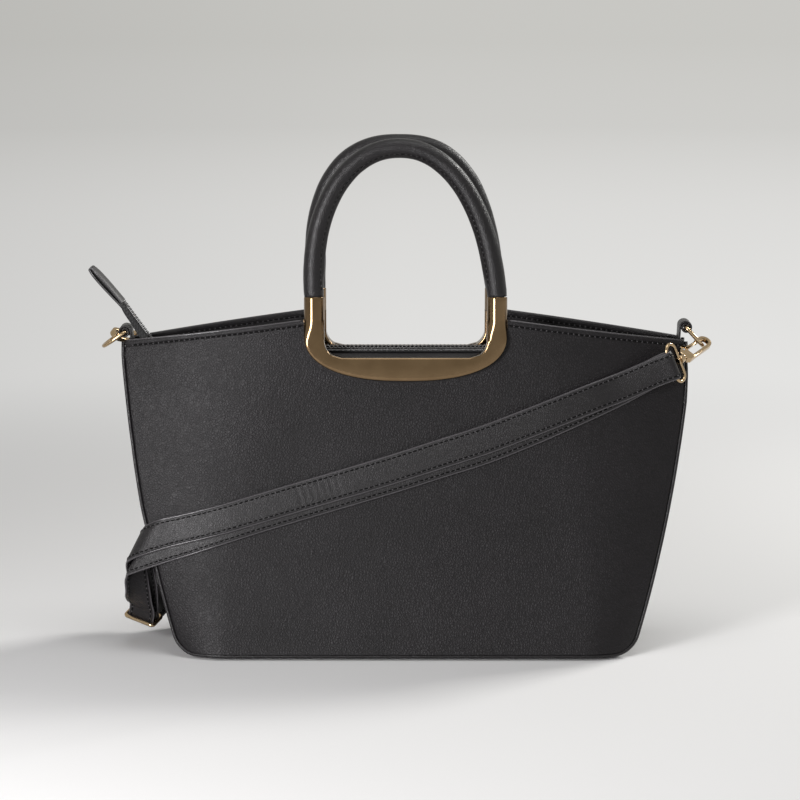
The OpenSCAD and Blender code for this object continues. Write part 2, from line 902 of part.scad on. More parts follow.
function tail_half(i, side, depth) =
    let (w = tail_flap_shares[i] * tape_w, a = tail_fold_angles[i])
    tail_point(i, side * (w * cos(a) - depth * sin(a)), w * sin(a) + depth * cos(a));
function tail_ring(i) = [
    tail_half(i, -1, 0), tail_point(i, 0, 0), tail_half(i, 1, 0),
    tail_half(i, 1, tape_t), tail_point(i, 0, tape_t), tail_half(i, -1, tape_t)
];
function tail_tooth_ring(i) = [
    tail_point(i, -tooth_out * 0.7, -seat), tail_point(i, -tooth_out * 0.5, -tooth_h),
    tail_point(i, tooth_out * 0.5, -tooth_h), tail_point(i, tooth_out * 0.7, -seat)
];

module zip_tail_tape() {
    color(cloth)
        loft([for (i = [0:len(tail_ridge) - 1]) tail_ring(i)], true);
}

module zip_tail_teeth() {
    color(cloth)
        loft([for (i = [0:len(tail_ridge) - 3]) tail_tooth_ring(i)]);
}

// Leather tab folded over the end of the tape
tab_step = [-37.4, 35.6];
tab_root = [zip_left + tab_step.x, 0, zip_z + tab_step.y];
tab_dir = unit([-0.66, 0, 0.75]);
tab_half_w = 8;

module zip_end_tab() {
    tip_r = tab_half_w * 0.45;
    color(leather)
        on_axes(tab_root, tab_dir, [0, -1, 0])
            translate([0, 0, -end_tab_t / 2])
                linear_extrude(end_tab_t)
                    polygon(concat(
                        [[0, -tab_half_w], [end_tab_l - tip_r, -tab_half_w]],
                        [for (a = [-60:30:60])
                            [end_tab_l - tip_r + tip_r * cos(a), (tab_half_w - tip_r) * sign(a) + tip_r * sin(a)]],
                        [[end_tab_l - tip_r, tab_half_w], [0, tab_half_w]]
                    ));
}

// Leather loops at the top corners, each rolled round the bar of a D-ring
loop_left = [-201.3, 0, 228.5];
loop_right = [200.9, 0, 231.8];
loop_bore = wire_r + run;
loop_leg_h = 20;
loop_leg_t = 1.3;

module ring_loop(centre) {
    side = sign(centre.x);
    leg_x1 = side * (side_x(side_h) - gusset_t - over);
    leg_x0 = leg_x1 - side * loop_leg_t;
    neck_z = side_h - over + 2 * lay;
    color(leather)
        difference() {
            union() {
                translate([centre.x, loop_w / 2, centre.z])
                    rotate([90, 0, 0])
                        cylinder(r = loop_r, h = loop_w, $fn = 48);
                translate([0, loop_w / 2, 0])
                    rotate([90, 0, 0])
                        linear_extrude(loop_w)
                            polygon([
                                [leg_x0, side_h - loop_leg_h], [leg_x1, side_h - loop_leg_h],
                                [leg_x1, neck_z], [leg_x1 + side * 2 * loop_leg_t, neck_z],
                                [centre.x, centre.z - loop_r * 0.8],
                                [centre.x - side * loop_r * 0.8, centre.z - loop_r * 0.2],
                                [leg_x0, neck_z]
                            ]);
            }
            translate([centre.x, loop_w / 2 + over, centre.z])
                rotate([90, 0, 0])
                    cylinder(r = loop_bore, h = loop_w + 2 * over, $fn = 32);
        }
}

module left_ring_loop() {
    ring_loop(loop_left);
}

module right_ring_loop() {
    ring_loop(loop_right);
}

// D-ring drawn with its bar on Y and its bow along X
ring_sides = 8;
bow_steps = 10;
bow_path = concat(
    [[0, -dring_half_w, 0]],
    [for (i = [0:bow_steps])
        let (a = -90 + 180 * i / bow_steps)
        [dring_arm + dring_half_w * cos(a), dring_half_w * sin(a), 0]],
    [[0, dring_half_w, 0]]
);
left_bow_dir = unit([-0.823, 0, -0.568]);
right_bow_dir = unit([0.672, 0, -0.741]);

module d_ring(centre, bow_dir) {
    color(gold)
        on_axes(centre, bow_dir, [0, 1, 0]) {
            loft(tube_rings(bow_path, wire_r, [0, 0, 1], ring_sides));
            translate([0, dring_half_w, 0])
                rotate([90, 0, 0])
                    cylinder(r = wire_r, h = 2 * dring_half_w, $fn = 32);
        }
}

module left_d_ring() {
    d_ring(loop_left, left_bow_dir);
}

module right_d_ring() {
    d_ring(loop_right, right_bow_dir);
}

// Snap hooks: hub of the swivel, and the point of the D-ring's wire that the claw holds
right_hub_off = [-0.1, -23.8, -11.7];
left_hub_off = [8.3, 29.1, -5.3];
right_hub = [top_w / 2, 0, side_h] + right_hub_off;
left_hub = [-top_w / 2, 0, side_h] + left_hub_off;
function bow_point(centre, bow_dir, s, y) = centre + s * bow_dir + [0, y, 0];
hold_turn = 25;
// How far the middle of each claw stands from the middle of the wire
right_claw_off = [-0.15, -0.33, 1.07];
left_claw_off = [-0.19, 0.07, -0.35];
right_hold = right_claw_off + bow_point(
    loop_right, right_bow_dir, dring_arm + dring_half_w * cos(hold_turn), -dring_half_w * sin(hold_turn)
);
left_hold = left_claw_off + bow_point(loop_left, left_bow_dir, dring_arm * 0.85, dring_half_w);
right_wire_dir = unit(right_bow_dir * sin(hold_turn) + [0, cos(hold_turn), 0]);
left_wire_dir = left_bow_dir;
right_axis = unit(right_hold - right_hub);
left_axis = unit(left_hold - left_hub);
// The claw's thickness follows the wire, turned about the hook's axis
right_roll = 0;
left_roll = 4;
function rolled(n, axis, roll) = cos(roll) * n + sin(roll) * cross(n, axis);
right_thick = rolled(square_to(right_wire_dir, right_axis), right_axis, right_roll);
left_thick = rolled(-square_to(left_wire_dir, left_axis), left_axis, left_roll);

// Hook drawn flat: X from the swivel to the claw, Y its thickness, Z from the spine to the gate
barrel_half = 2.2;
barrel_r = 3.2;
base_end = 9.5;
claw_half = claw_gap / 2 + claw_wall;
crown_x = hook_reach - claw_half;
nose_x = 22.4;
lug_half_t = 2.2;
slot_half = 1.5;
pivot = [7.4, 3.9];
boss_r = 2.3;
gate_t = 1.8;
gate_y = -0.5;
gate_tip_gap = 0.25;
bevel = 0.6;

module claw_outline(inset) {
    difference() {
        union() {
            translate([crown_x, 0])
                circle(r = claw_half - inset, $fn = 48);
            translate([barrel_half + run + inset, -claw_half + inset])
                square([crown_x - barrel_half - run - inset, 2 * (claw_half - inset)]);
        }
        translate([crown_x, 0])
            circle(r = claw_gap / 2 + inset, $fn = 48);
        translate([base_end - inset, -claw_gap / 2 - inset])
            square([crown_x - base_end + inset, claw_gap + 2 * inset]);
        translate([base_end - inset, 0])
            square([nose_x - base_end + 2 * inset, claw_half + over]);
        for (sz = [-1, 1])
            polygon([
                [0, sz * barrel_r], [barrel_half + run, sz * barrel_r],
                [base_end * 0.6, sz * (claw_half + over)], [0, sz * (claw_half + over)]
            ]);
    }
}

module hook_slab(thick, inset, length) {
    translate([0, thick / 2, 0])
        rotate([90, 0, 0])
            linear_extrude(thick)
                intersection() {
                    claw_outline(inset);
                    translate([0, -claw_half - over])
                        square([length, 2 * (claw_half + over)]);
                }
}

module hook_body(o, axis, thick_dir) {
    color(gold)
        on_axes(o, axis, thick_dir)
            difference() {
                union() {
                    hook_slab(claw_t, 0, hook_reach + over);
                    hook_slab(2 * lug_half_t, 0, base_end);
                }
                translate([0, 0, 0])
                    rotate([0, 90, 0])
                        cylinder(r = stud_r + seat, h = barrel_half + base_end * 0.35, $fn = 32);
                translate([pivot.x - boss_r - lay, -slot_half, pivot.y - boss_r - lay])
                    cube([base_end, 2 * slot_half, claw_half + over]);
                translate([pivot.x, lug_half_t + over, pivot.y])
                    rotate([90, 0, 0])
                        cylinder(r = pin_r + seat, h = 2 * (lug_half_t + over), $fn = 24);
            }
}

module hook_gate(o, axis, thick_dir) {
    tip_x = nose_x - gate_tip_gap;
    color(gold)
        on_axes(o, axis, thick_dir)
            translate([0, gate_y + gate_t / 2, 0])
                rotate([90, 0, 0])
                    difference() {
                        linear_extrude(gate_t)
                            union() {
                                translate(pivot)
                                    circle(r = boss_r, $fn = 32);
                                polygon([
                                    [pivot.x, claw_gap / 2 - bevel], [tip_x, claw_gap / 2],
                                    [tip_x, claw_half - bevel], [pivot.x + boss_r + 4 * bevel, claw_half],
                                    [pivot.x + boss_r + 2 * bevel, claw_half + claw_wall],
                                    [pivot.x + bevel, claw_half + claw_wall]
                                ]);
                            }
                        translate([pivot.x, pivot.y, -over])
                            cylinder(r = pin_r + seat, h = gate_t + 2 * over, $fn = 24);
                    }
}

module gate_pin(o, axis, thick_dir) {
    color(steel)
        on_axes(o, axis, thick_dir)
            translate([pivot.x, lug_half_t, pivot.y])
                rotate([90, 0, 0])
                    cylinder(r = pin_r, h = 2 * lug_half_t, $fn = 24);
}

// Torsion spring round the pin, beside the gate
spring_wire_r = 0.18;
spring_steps = 24;

module gate_spring(o, axis, thick_dir) {
    coil_r = pin_r + seat + 2 * spring_wire_r;
    y0 = gate_y + gate_t / 2 + run + spring_wire_r;
    y1 = slot_half - run - spring_wire_r;
    path = [for (i = [0:spring_steps])
        let (s = i / spring_steps, a = 360 * s * (y1 - y0) / (2 * spring_wire_r + seat))
        [pivot.x + coil_r * cos(a), mix(y0, y1, s), pivot.y + coil_r * sin(a)]];
    color(steel)
        on_axes(o, axis, thick_dir)
            loft(tube_rings(path, spring_wire_r, [0, 1, 0], 5));
}

module hook_stud(o, axis, thick_dir) {
    stud_tail = ring_back + wire_r + run + over;
    color(gold)
        on_axes(o, axis, thick_dir)
            rotate([0, 90, 0]) {
                translate([0, 0, -stud_tail])
                    cylinder(r = stud_r, h = stud_tail + barrel_half + base_end * 0.3, $fn = 32);
                translate([0, 0, -stud_tail])
                    cylinder(r = stud_r * 1.5, h = over, $fn = 32);
            }
}

module right_hook_body() {
    hook_body(right_hub, right_axis, right_thick);
}

module left_hook_body() {
    hook_body(left_hub, left_axis, left_thick);
}

module right_hook_gate() {
    hook_gate(right_hub, right_axis, right_thick);
}

module left_hook_gate() {
    hook_gate(left_hub, left_axis, left_thick);
}

module right_gate_pin() {
    gate_pin(right_hub, right_axis, right_thick);
}

module left_gate_pin() {
    gate_pin(left_hub, left_axis, left_thick);
}

module right_gate_spring() {
    gate_spring(right_hub, right_axis, right_thick);
}

module left_gate_spring() {
    gate_spring(left_hub, left_axis, left_thick);
}

module right_hook_stud() {
    hook_stud(right_hub, right_axis, right_thick);
}

module left_hook_stud() {
    hook_stud(left_hub, left_axis, left_thick);
}

// Strap rings: an oval eye with a swivel barrel, and a straight bar for the strap
ring_depth = 9.5;
ring_half = 14;
// Distance of the near bar from the middle of the barrel
ring_back = 2.6;
right_bar_dir = square_to([-0.35, -0.05, 0.935], right_axis);
left_bar_dir = square_to([0.95, -0.1, 0.3], left_axis);
right_bar_at = right_hub - (ring_back + ring_depth) * right_axis;
left_bar_at = left_hub - (ring_back + ring_depth) * left_axis;
eye_steps = 6;

function eye_path(side) = [
    for (i = [0:eye_steps])
        let (a = 90 - 180 * i / eye_steps, r = ring_depth / 2)
        [-ring_back - r + r * sin(a), side * (ring_half - r + r * cos(a)), 0]
];

module strap_ring(o, axis, bar_dir) {
    arm = ring_half - ring_depth / 2;
    color(gold)
        on_axes(o, axis, bar_dir)
            difference() {
                union() {
                    for (side = [-1, 1])
                        loft(tube_rings(eye_path(side), wire_r, [0, 0, 1], ring_sides));
                    for (x = [-ring_back - ring_depth, -ring_back])
                        translate([x, arm, 0])
                            rotate([90, 0, 0])
                                cylinder(r = wire_r, h = 2 * arm, $fn = 32);
                    translate([-barrel_half, 0, 0])
                        rotate([0, 90, 0])
                            cylinder(r = barrel_r, h = 2 * barrel_half, $fn = 48);
                }
                translate([-ring_back - wire_r - over, 0, 0])
                    rotate([0, 90, 0])
                        cylinder(r = stud_r + seat, h = ring_back + wire_r + barrel_half + 2 * over, $fn = 32);
            }
}

module right_strap_ring() {
    strap_ring(right_hub, right_axis, right_bar_dir);
}

module left_strap_ring() {
    strap_ring(left_hub, left_axis, left_bar_dir);
}

// Slide buckle: three bars across the strap and two ends
buckle_at = [-187.5, -2, 19];
buckle_bar_dir = unit([0.8, -0.53, -0.265]);
buckle_short_dir = square_to([0.595, 0.73, 0.335], buckle_bar_dir);
buckle_up = cross(buckle_bar_dir, buckle_short_dir);
wrap_gap = 0.25;
wrap_r = wire_r + wrap_gap + strap_t / 2;
buckle_bar_gap = 2 * wrap_r + strap_t + wrap_gap;
buckle_half = strap_w / 2 + lay + wire_r + run;

module strap_buckle() {
    color(gold)
        on_axes(buckle_at, buckle_bar_dir, buckle_short_dir) {
            for (y = [-buckle_bar_gap, 0, buckle_bar_gap])
                translate([-buckle_half, y, 0])
                    rotate([0, 90, 0])
                        cylinder(r = wire_r, h = 2 * buckle_half, $fn = 24);
            for (x = [-1, 1])
                translate([x * buckle_half - wire_r, -buckle_bar_gap - wire_r, -wire_r])
                    cube([2 * wire_r, 2 * (buckle_bar_gap + wire_r), 2 * wire_r]);
        }
}

// Shoulder strap: one ribbon, as keys of a centre and half the width vector, which points to the
// edge that is the upper one on the front
strap_lay = 0.7;
inner_lift = strap_lay + strap_t / 2;
outer_lift = inner_lift + strap_t + lay;
half_w = strap_w / 2;
// Places of the outer run on the front face, with the slant of the section there as a share
outer_run = [
    [-169, 88.3, 0.4], [-158, 91.2, 0], [-144, 94.8, 0], [-128, 99.2, 0], [-108, 105.2, 0],
    [-80, 113.4, 0], [-45, 123.6, 0], [-10, 134, 0], [25, 145.2, 0], [55, 154.8, 0],
    [82, 165, 0], [108, 175.2, 0], [133, 184.8, 0], [152, 191.6, 0]
];
// The inner run under it
inner_run = [
    [-173, 77, 0.4], [-159, 81.6, 0], [-144, 86.8, 0], [-128, 92.2, 0], [-108, 98.6, 0],
    [-80, 106.9, 0], [-45, 117.1, 0], [-10, 127.4, 0], [25, 138.4, 0], [55, 147.9, 0],
    [82, 158.4, 0], [108, 169.6, 0], [133, 180.6, 0], [152, 189.2, 0]
];
function run_dir(run, i) =
    let (a = run[max(i - 1, 0)], b = run[min(i + 1, len(run) - 1)])
    unit([b.x - a.x, 0, b.y - a.y]);
function run_key(run, i, lift) =
    let (
        x = run[i].x,
        z = run[i].y,
        n = face_in(x, z),
        d = square_to(run_dir(run, i), n)
    )
    [face_at(x, z) - lift * n, half_w * (cross(d, n) + run[i].z * d)];

// Slanting fold at the left corner: a helix round an axis that falls to the left
fold_axis = unit([-0.449, 0, -0.895]);
fold_out = cross([0, 1, 0], fold_axis);
fold_at = [-185.1, -32.5, 73.2];
fold_slope = 1;
inner_fold_r = 6;
fold_gap = 1.1;
outer_fold_r = inner_fold_r + strap_t + fold_gap;
inner_fold_shift = 10;
fold_angles = [0, 22.5, 45, 67.5, 90, 112.5, 135, 157.5, 180];
fold_half = -half_w * sqrt(1 + fold_slope * fold_slope) * fold_axis;
function fold_key(r, a, shift) = [
    fold_at + r * (sin(a) * fold_out - cos(a) * [0, 1, 0])
        + (shift + r * fold_slope * (a - 90) * PI / 180) * fold_axis,
    fold_half
];

// Wrap round a bar: turns from the side vector through the far vector
function wrap_keys(at, bar, side, far, angles) =
    [for (a = angles) [at + wrap_r * (cos(a) * side + sin(a) * far), half_w * bar]];
half_turn = [0, 30, 60, 90, 120, 150, 180];
sewn_l = 9;
sewn_gap = strap_t / 2 + wrap_gap;
right_pull = square_to([-0.93, 0.03, -0.36], right_bar_dir);
right_side = cross(right_bar_dir, right_pull);
left_pull = square_to([0.3, 0.1, -0.95], left_bar_dir);
left_side = cross(left_bar_dir, left_pull);
far_bar = buckle_at + buckle_bar_gap * buckle_short_dir;
// Hanging parts between the fold and the buckle
inner_hang = [
    [[-193.2, -24.4, 47.4], [7.9, -0.6, 8.4]], [[-192.2, -18.2, 40.4], [9, -1.8, 4]],
    [[-190.6, -12.6, 33.8], [9, -3.6, 1]]
];
outer_hang = [
    [[-189.4, -19.2, 52.6], [7.9, -0.6, 8.4]], [[-187.7, -13.8, 44.6], [9, -1.8, 4]],
    [[-186.3, -8, 36.8], [9, -3.6, 1]]
];
// Run behind the bag, from the buckle to the left hook
rear_run = [
    [[-182, 26, 29], [8.9, 1.4, -4.3]], [[-183, 42, 37], [8.4, 1.5, -5.2]],
    [[-175, 56, 52], [8, 0.5, -6]], [[-160, 56, 77], [8.6, 0, -5.1]],
    [[-155, 52, 104], [9.5, 0, -3.1]], [[-157, 46.5, 134], [10, 0, -0.6]],
    [[-164, 42, 163], [9.8, 0, 2]], [[-172, 39.6, 186], [9.6, 0, 2.8]]
];

strap_keys = concat(
    [[buckle_at + 0.85 * sewn_l * buckle_up + sewn_gap * buckle_short_dir, half_w * buckle_bar_dir]],
    wrap_keys(buckle_at, buckle_bar_dir, buckle_short_dir, -buckle_up, half_turn),
    [[buckle_at + sewn_l * buckle_up - sewn_gap * buckle_short_dir, half_w * buckle_bar_dir]],
    [for (k = [len(inner_hang) - 1:-1:0]) inner_hang[k]],
    [for (k = [len(fold_angles) - 1:-1:0]) fold_key(inner_fold_r, fold_angles[k], inner_fold_shift)],
    [for (i = [0:len(inner_run) - 1]) run_key(inner_run, i, inner_lift)],
    [[right_bar_at + sewn_l * right_pull - sewn_gap * right_side, half_w * right_bar_dir]],
    wrap_keys(right_bar_at, right_bar_dir, -right_side, -right_pull, half_turn),
    [[right_bar_at + sewn_l * right_pull + (sewn_gap + lay) * right_side, half_w * right_bar_dir]],
    [run_key(outer_run, len(outer_run) - 1, outer_lift + lay)],
    [for (i = [len(outer_run) - 2:-1:0]) run_key(outer_run, i, outer_lift)],
    [for (a = fold_angles) fold_key(outer_fold_r, a, 0)],
    outer_hang,
    [[buckle_at + sewn_l * buckle_up + (sewn_gap + strap_t + wrap_gap) * buckle_short_dir,
        half_w * buckle_bar_dir]],
    wrap_keys(far_bar, buckle_bar_dir, -buckle_short_dir, -buckle_up, [0, 30, 60, 90]),
    [[far_bar + sewn_l * buckle_short_dir - wrap_r * buckle_up, half_w * buckle_bar_dir]],
    rear_run,
    [[left_bar_at + 1.8 * sewn_l * left_pull + sewn_gap * left_side, half_w * left_bar_dir]],
    [[left_bar_at + sewn_l * left_pull + sewn_gap * left_side, half_w * left_bar_dir]],
    wrap_keys(left_bar_at, left_bar_dir, left_side, -left_pull, half_turn),
    [[left_bar_at + sewn_l * left_pull - sewn_gap * left_side, half_w * left_bar_dir]],
    [[left_bar_at + 1.6 * sewn_l * left_pull - sewn_gap * left_side, half_w * left_bar_dir]]
);

// Sections between the keys, enough to spread every turn of the strap
turn_step = 4;
function turn_steps(a, b) = max(1, ceil(acos(min(1, unit(a) * unit(b))) / turn_step));
function between(a, b, t) = [mix(a[0], b[0], t), mix(norm(a[1]), norm(b[1]), t) * unit(mix(a[1], b[1], t))];
strap_line = concat(
    [for (i = [0:len(strap_keys) - 2])
        let (a = strap_keys[i], b = strap_keys[i + 1], n = turn_steps(a[1], b[1]))
        for (k = [0:n - 1]) between(a, b, k / n)],
    [strap_keys[len(strap_keys) - 1]]
);
function line_dir(i) =
    unit(strap_line[min(i + 1, len(strap_line) - 1)][0] - strap_line[max(i - 1, 0)][0]);
function strap_section(i) =
    let (
        p = strap_line[i][0],
        w = strap_line[i][1],
        n = unit(cross(line_dir(i), w)) * strap_t / 2
    )
    [p - w - n, p + w - n, p + w + n, p - w + n];

module shoulder_strap() {
    color(leather)
        loft([for (i = [0:len(strap_line) - 1]) strap_section(i)], true);
}

front_panel();
back_panel();
left_gusset();
right_gusset();
front_piping();
back_piping();
base_panel();
base_board();
base_feet();
lining();
front_facing();
back_facing();
front_handle_frame();
back_handle_frame();
front_handle_backing();
back_handle_backing();
frame_screws();
front_handle_core();
back_handle_core();
front_handle_cover();
back_handle_cover();
front_zip_strip();
back_zip_strip();
front_zip_tape();
back_zip_tape();
front_zip_teeth();
back_zip_teeth();
zip_stops();
zip_slider();
zip_pull();
zip_tail_tape();
zip_tail_teeth();
zip_end_tab();
left_ring_loop();
right_ring_loop();
left_d_ring();
right_d_ring();
shoulder_strap();
strap_buckle();
left_strap_ring();
right_strap_ring();
left_hook_stud();
right_hook_stud();
left_hook_body();
right_hook_body();
left_hook_gate();
right_hook_gate();
left_gate_pin();
right_gate_pin();
left_gate_spring();
right_gate_spring();
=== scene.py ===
import math

import bpy
import bmesh
import numpy as np
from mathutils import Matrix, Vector, noise


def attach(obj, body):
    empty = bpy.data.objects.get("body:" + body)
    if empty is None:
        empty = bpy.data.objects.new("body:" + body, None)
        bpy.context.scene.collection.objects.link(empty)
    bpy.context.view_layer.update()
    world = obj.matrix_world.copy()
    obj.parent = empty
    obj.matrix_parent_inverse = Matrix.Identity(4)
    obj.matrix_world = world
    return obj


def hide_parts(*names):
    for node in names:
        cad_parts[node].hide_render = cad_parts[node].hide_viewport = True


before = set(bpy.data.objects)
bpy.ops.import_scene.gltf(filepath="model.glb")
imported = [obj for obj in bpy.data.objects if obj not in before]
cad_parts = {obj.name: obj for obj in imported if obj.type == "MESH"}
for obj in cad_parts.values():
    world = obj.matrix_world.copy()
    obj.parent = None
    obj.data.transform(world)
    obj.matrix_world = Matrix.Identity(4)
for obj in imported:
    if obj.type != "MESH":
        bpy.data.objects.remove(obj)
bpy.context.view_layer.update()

MM = 0.001
FACES = ((-1, "front"), (1, "back"))
ENDS = ((-1, "left"), (1, "right"))


# Small sums, in millimetres and degrees as in the part's source
def V(*p):
    return np.array(p, float)


def unit(v):
    v = np.asarray(v, float)
    return v / np.linalg.norm(v)


def mix(a, b, t):
    return a + (b - a) * t


def hold(t):
    return max(0.0, min(1.0, t))


def sin(a):
    return math.sin(math.radians(a))


def cos(a):
    return math.cos(math.radians(a))


def bell(d, width):
    """1 where d is 0, next to nothing at twice the width."""
    return math.exp(-(d / width) ** 2)


def signed_power(c, power):
    return math.copysign(abs(c) ** power, c)


def square_to(v, axis):
    """Unit vector along v, with its part along the axis taken out."""
    v, axis = np.asarray(v, float), np.asarray(axis, float)
    return unit(v - v.dot(axis) * axis)


def wave(p, size, seed):
    """Smooth noise, about -1 to 1, with features of that size in millimetres."""
    return noise.noise(Vector((p[0] / size + seed, p[1] / size + 7.3 * seed, p[2] / size - 3.1 * seed)))


def spread(keys, n):
    """n even steps on each stretch between the keys."""
    out = [keys[0]]
    for a, b in zip(keys, keys[1:]):
        out += [mix(np.asarray(a, float), np.asarray(b, float), (i + 1) / n) for i in range(n)]
    return out


def catmull(keys, step):
    """Smooth line through keys of any width, by arc length of their first three numbers."""
    keys = [np.asarray(k, float) for k in keys]
    ends = [2 * keys[0] - keys[1]] + keys + [2 * keys[-1] - keys[-2]]
    out = []
    for p0, p1, p2, p3 in zip(ends, ends[1:], ends[2:], ends[3:]):
        gaps = [max(np.linalg.norm((q - p)[:3]), 1e-6) for p, q in ((p0, p1), (p1, p2), (p2, p3))]
        a, b, c = [gap ** 0.5 for gap in gaps]
        t1 = b * ((p1 - p0) / a - (p2 - p0) / (a + b) + (p2 - p1) / b)
        t2 = b * ((p2 - p1) / b - (p3 - p1) / (b + c) + (p3 - p2) / c)
        n = max(1, int(math.ceil(gaps[1] / step)))
        for t in [k / n for k in range(n)]:
            out.append((2 * t ** 3 - 3 * t ** 2 + 1) * p1 + (t ** 3 - 2 * t ** 2 + t) * t1
                       + (-2 * t ** 3 + 3 * t ** 2) * p2 + (t ** 3 - t ** 2) * t2)
    return out + [keys[-1]]


def tangents(path, closed=False):
    p = np.array(path)
    if closed:
        t = np.roll(p, -1, 0) - np.roll(p, 1, 0)
    else:
        t = np.concatenate([[p[1] - p[0]], p[2:] - p[:-2], [p[-1] - p[-2]]])
    return t / np.linalg.norm(t, axis=1)[:, None]


def lengths_along(path):
    """Distance from the start at each point of a path."""
    p = np.array(path, float)
    return np.concatenate([[0], np.cumsum(np.linalg.norm(p[1:] - p[:-1], axis=1))])


def points_at(path, along, at):
    """Points of a path at these distances; along is the distance of each of its own points."""
    p = np.array(path, float)
    return np.array([np.interp(at, along, p[:, k]) for k in range(3)]).T


# Making of pieces
def place(name, me, material, nodes, slot, body, sharp):
    """Makes the mesh a smooth piece that rides on a body and replaces these nodes."""
    for f in me.polygons:
        f.use_smooth = True
    if sharp is not None:
        me.set_sharp_from_angle(angle=math.radians(sharp))
    me.materials.clear()
    me.materials.append(material)
    obj = bpy.data.objects.new(name, me)
    bpy.context.scene.collection.objects.link(obj)
    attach(obj, body)
    if nodes:
        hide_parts(*nodes)


def piece(name, points, faces, material, nodes=(), slot="black_leather", body="bag", sharp=None):
    me = bpy.data.meshes.new(name)
    me.from_pydata((np.array(points) * MM).tolist(), [], [list(f) for f in faces])
    bm = bmesh.new()
    bm.from_mesh(me)
    bmesh.ops.remove_doubles(bm, verts=bm.verts, dist=1e-7)
    bmesh.ops.recalc_face_normals(bm, faces=bm.faces)
    bm.to_mesh(me)
    bm.free()
    place(name, me, material, nodes, slot, body, sharp)


def loft_mesh(rings, closed=False, caps=True):
    """Points and faces of a skin over rings of equal count; closed joins the last ring to the first."""
    n, m = len(rings), len(rings[0])
    faces = []
    for i in range(n if closed else n - 1):
        j = (i + 1) % n
        for k in range(m):
            after = (k + 1) % m
            faces.append((i * m + k, i * m + after, j * m + after, j * m + k))
    if caps and not closed:
        faces += [list(range(m)), [(n - 1) * m + k for k in range(m - 1, -1, -1)]]
    return [p for r in rings for p in r], faces


def join(parts):
    points, faces = [], []
    for p, f in parts:
        faces += [[len(points) + i for i in face] for face in f]
        points += list(p)
    return points, faces


def round_ring(at, u, v, r, sides):
    return [at + r * (cos(360 * k / sides) * u + sin(360 * k / sides) * v) for k in range(sides)]


def tube_mesh(path, r, side, sides=16, closed=False):
    """Round tube; r is a number or one for each point. Its ring is turned towards side."""
    path = [np.asarray(p, float) for p in path]
    rings = []
    for p, d, q in zip(path, tangents(path, closed), r if hasattr(r, "__len__") else [r] * len(path)):
        u = square_to(side, d)
        rings.append(round_ring(p, u, np.cross(d, u), q, sides))
    return loft_mesh(rings, closed)


def capsule(a, b, r):
    """Rounded thread segment from a to b."""
    d = unit(b - a)
    u = square_to(V(0.3, 0.9, 0.31), d)
    steps = ((0.0, 0.35), (0.06, 0.75), (0.18, 1.0), (0.5, 1.08), (0.82, 1.0), (0.94, 0.75), (1.0, 0.35))
    return loft_mesh([round_ring(mix(a, b, s), u, np.cross(d, u), r * k, 6) for s, k in steps])


def band_ring(p, n, profile, thick):
    """Ring of a flat band across Y; profile has place and half thickness from one edge to the middle."""
    full = profile + [(-y, h) for y, h in profile[-2::-1]]
    return ([p + V(0, y, 0) + n * (h * thick) for y, h in full]
            + [p + V(0, y, 0) - n * (h * thick) for y, h in full[::-1]])


stitch_l, stitch_pitch, swell_l, swell_sunk = 2.6, 3.9, 1.0, 0.12


def stitches(name, lines, slot="black_leather", lift=0.0, r=0.55, swollen=True):
    """Thread segments along lines of (points, normals), and the leather that swells between them, painted
    lighter as a highlight.
    """
    threads, swells = [], []
    for path, normals in lines:
        along = lengths_along(path)
        at = np.arange(0.4, along[-1], stitch_pitch / 4)
        p, n = points_at(path, along, at), points_at(normals, along, at)
        for i in range(0, len(p) - 4, 4):
            d, up = unit(p[i + 2] - p[i]), unit(n[i])
            half = d * stitch_l / 2
            threads.append(capsule(p[i + 1] - half + up * lift, p[i + 1] + half + up * lift, r))
            half, high = d * swell_l / 2, up * (lift - swell_sunk)
            swells.append(capsule(p[i + 3] - half + high, p[i + 3] + half + high, r * 1.2))
    if swollen:
        # the swells between the stitches carry a painted highlight: their leather is drawn much lighter than
        # the panel
        piece(name + "_leather", *join(swells), SWELL_HIGHLIGHT, slot=slot)
    piece(name, *join(threads), THREAD, slot=slot)


# Shader nodes
def fill(nt, node, *by_place, **by_name):
    """Sets a node's inputs, or links those that get a socket. Small letters name settings of the node."""
    for key, value in by_name.items():
        if key.islower():
            setattr(node, key, value)
    named = [(node.inputs[key.replace("_", " ")], v) for key, v in by_name.items() if not key.islower()]
    for socket, value in list(zip(node.inputs, by_place)) + named:
        if isinstance(value, bpy.types.NodeSocket):
            nt.links.new(value, socket)
        else:
            socket.default_value = value
    return node


def add(nt, kind, *by_place, **by_name):
    return fill(nt, nt.nodes.new("ShaderNode" + kind), *by_place, **by_name)


def number(nt, operation, *values, clamp=False):
    return add(nt, "Math", *values, operation=operation, use_clamp=clamp).outputs[0]


def speckle(nt, co, scale, detail, rough=0.5):
    return add(nt, "TexNoise", Vector=co, Scale=scale, Detail=detail, Roughness=rough).outputs["Fac"]


def ramp(nt, source, stops, interpolation="LINEAR"):
    r = add(nt, "ValToRGB", source)
    r.color_ramp.interpolation = interpolation
    while len(r.color_ramp.elements) < len(stops):
        r.color_ramp.elements.new(0.5)
    for e, (at, c) in zip(r.color_ramp.elements, stops):
        e.position = at
        e.color = (*c, 1) if hasattr(c, "__len__") else (c, c, c, 1)
    return r.outputs[0]


def blend(nt, share, low, high):
    return add(nt, "MixRGB", share, (*low, 1), (*high, 1)).outputs[0]


def multiplied(nt, share, a, b):
    return add(nt, "MixRGB", share, a, b, blend_type="MULTIPLY").outputs[0]


def ranged(nt, value, low, high, at_low, at_high):
    return add(nt, "MapRange", value, low, high, at_low, at_high).outputs[0]


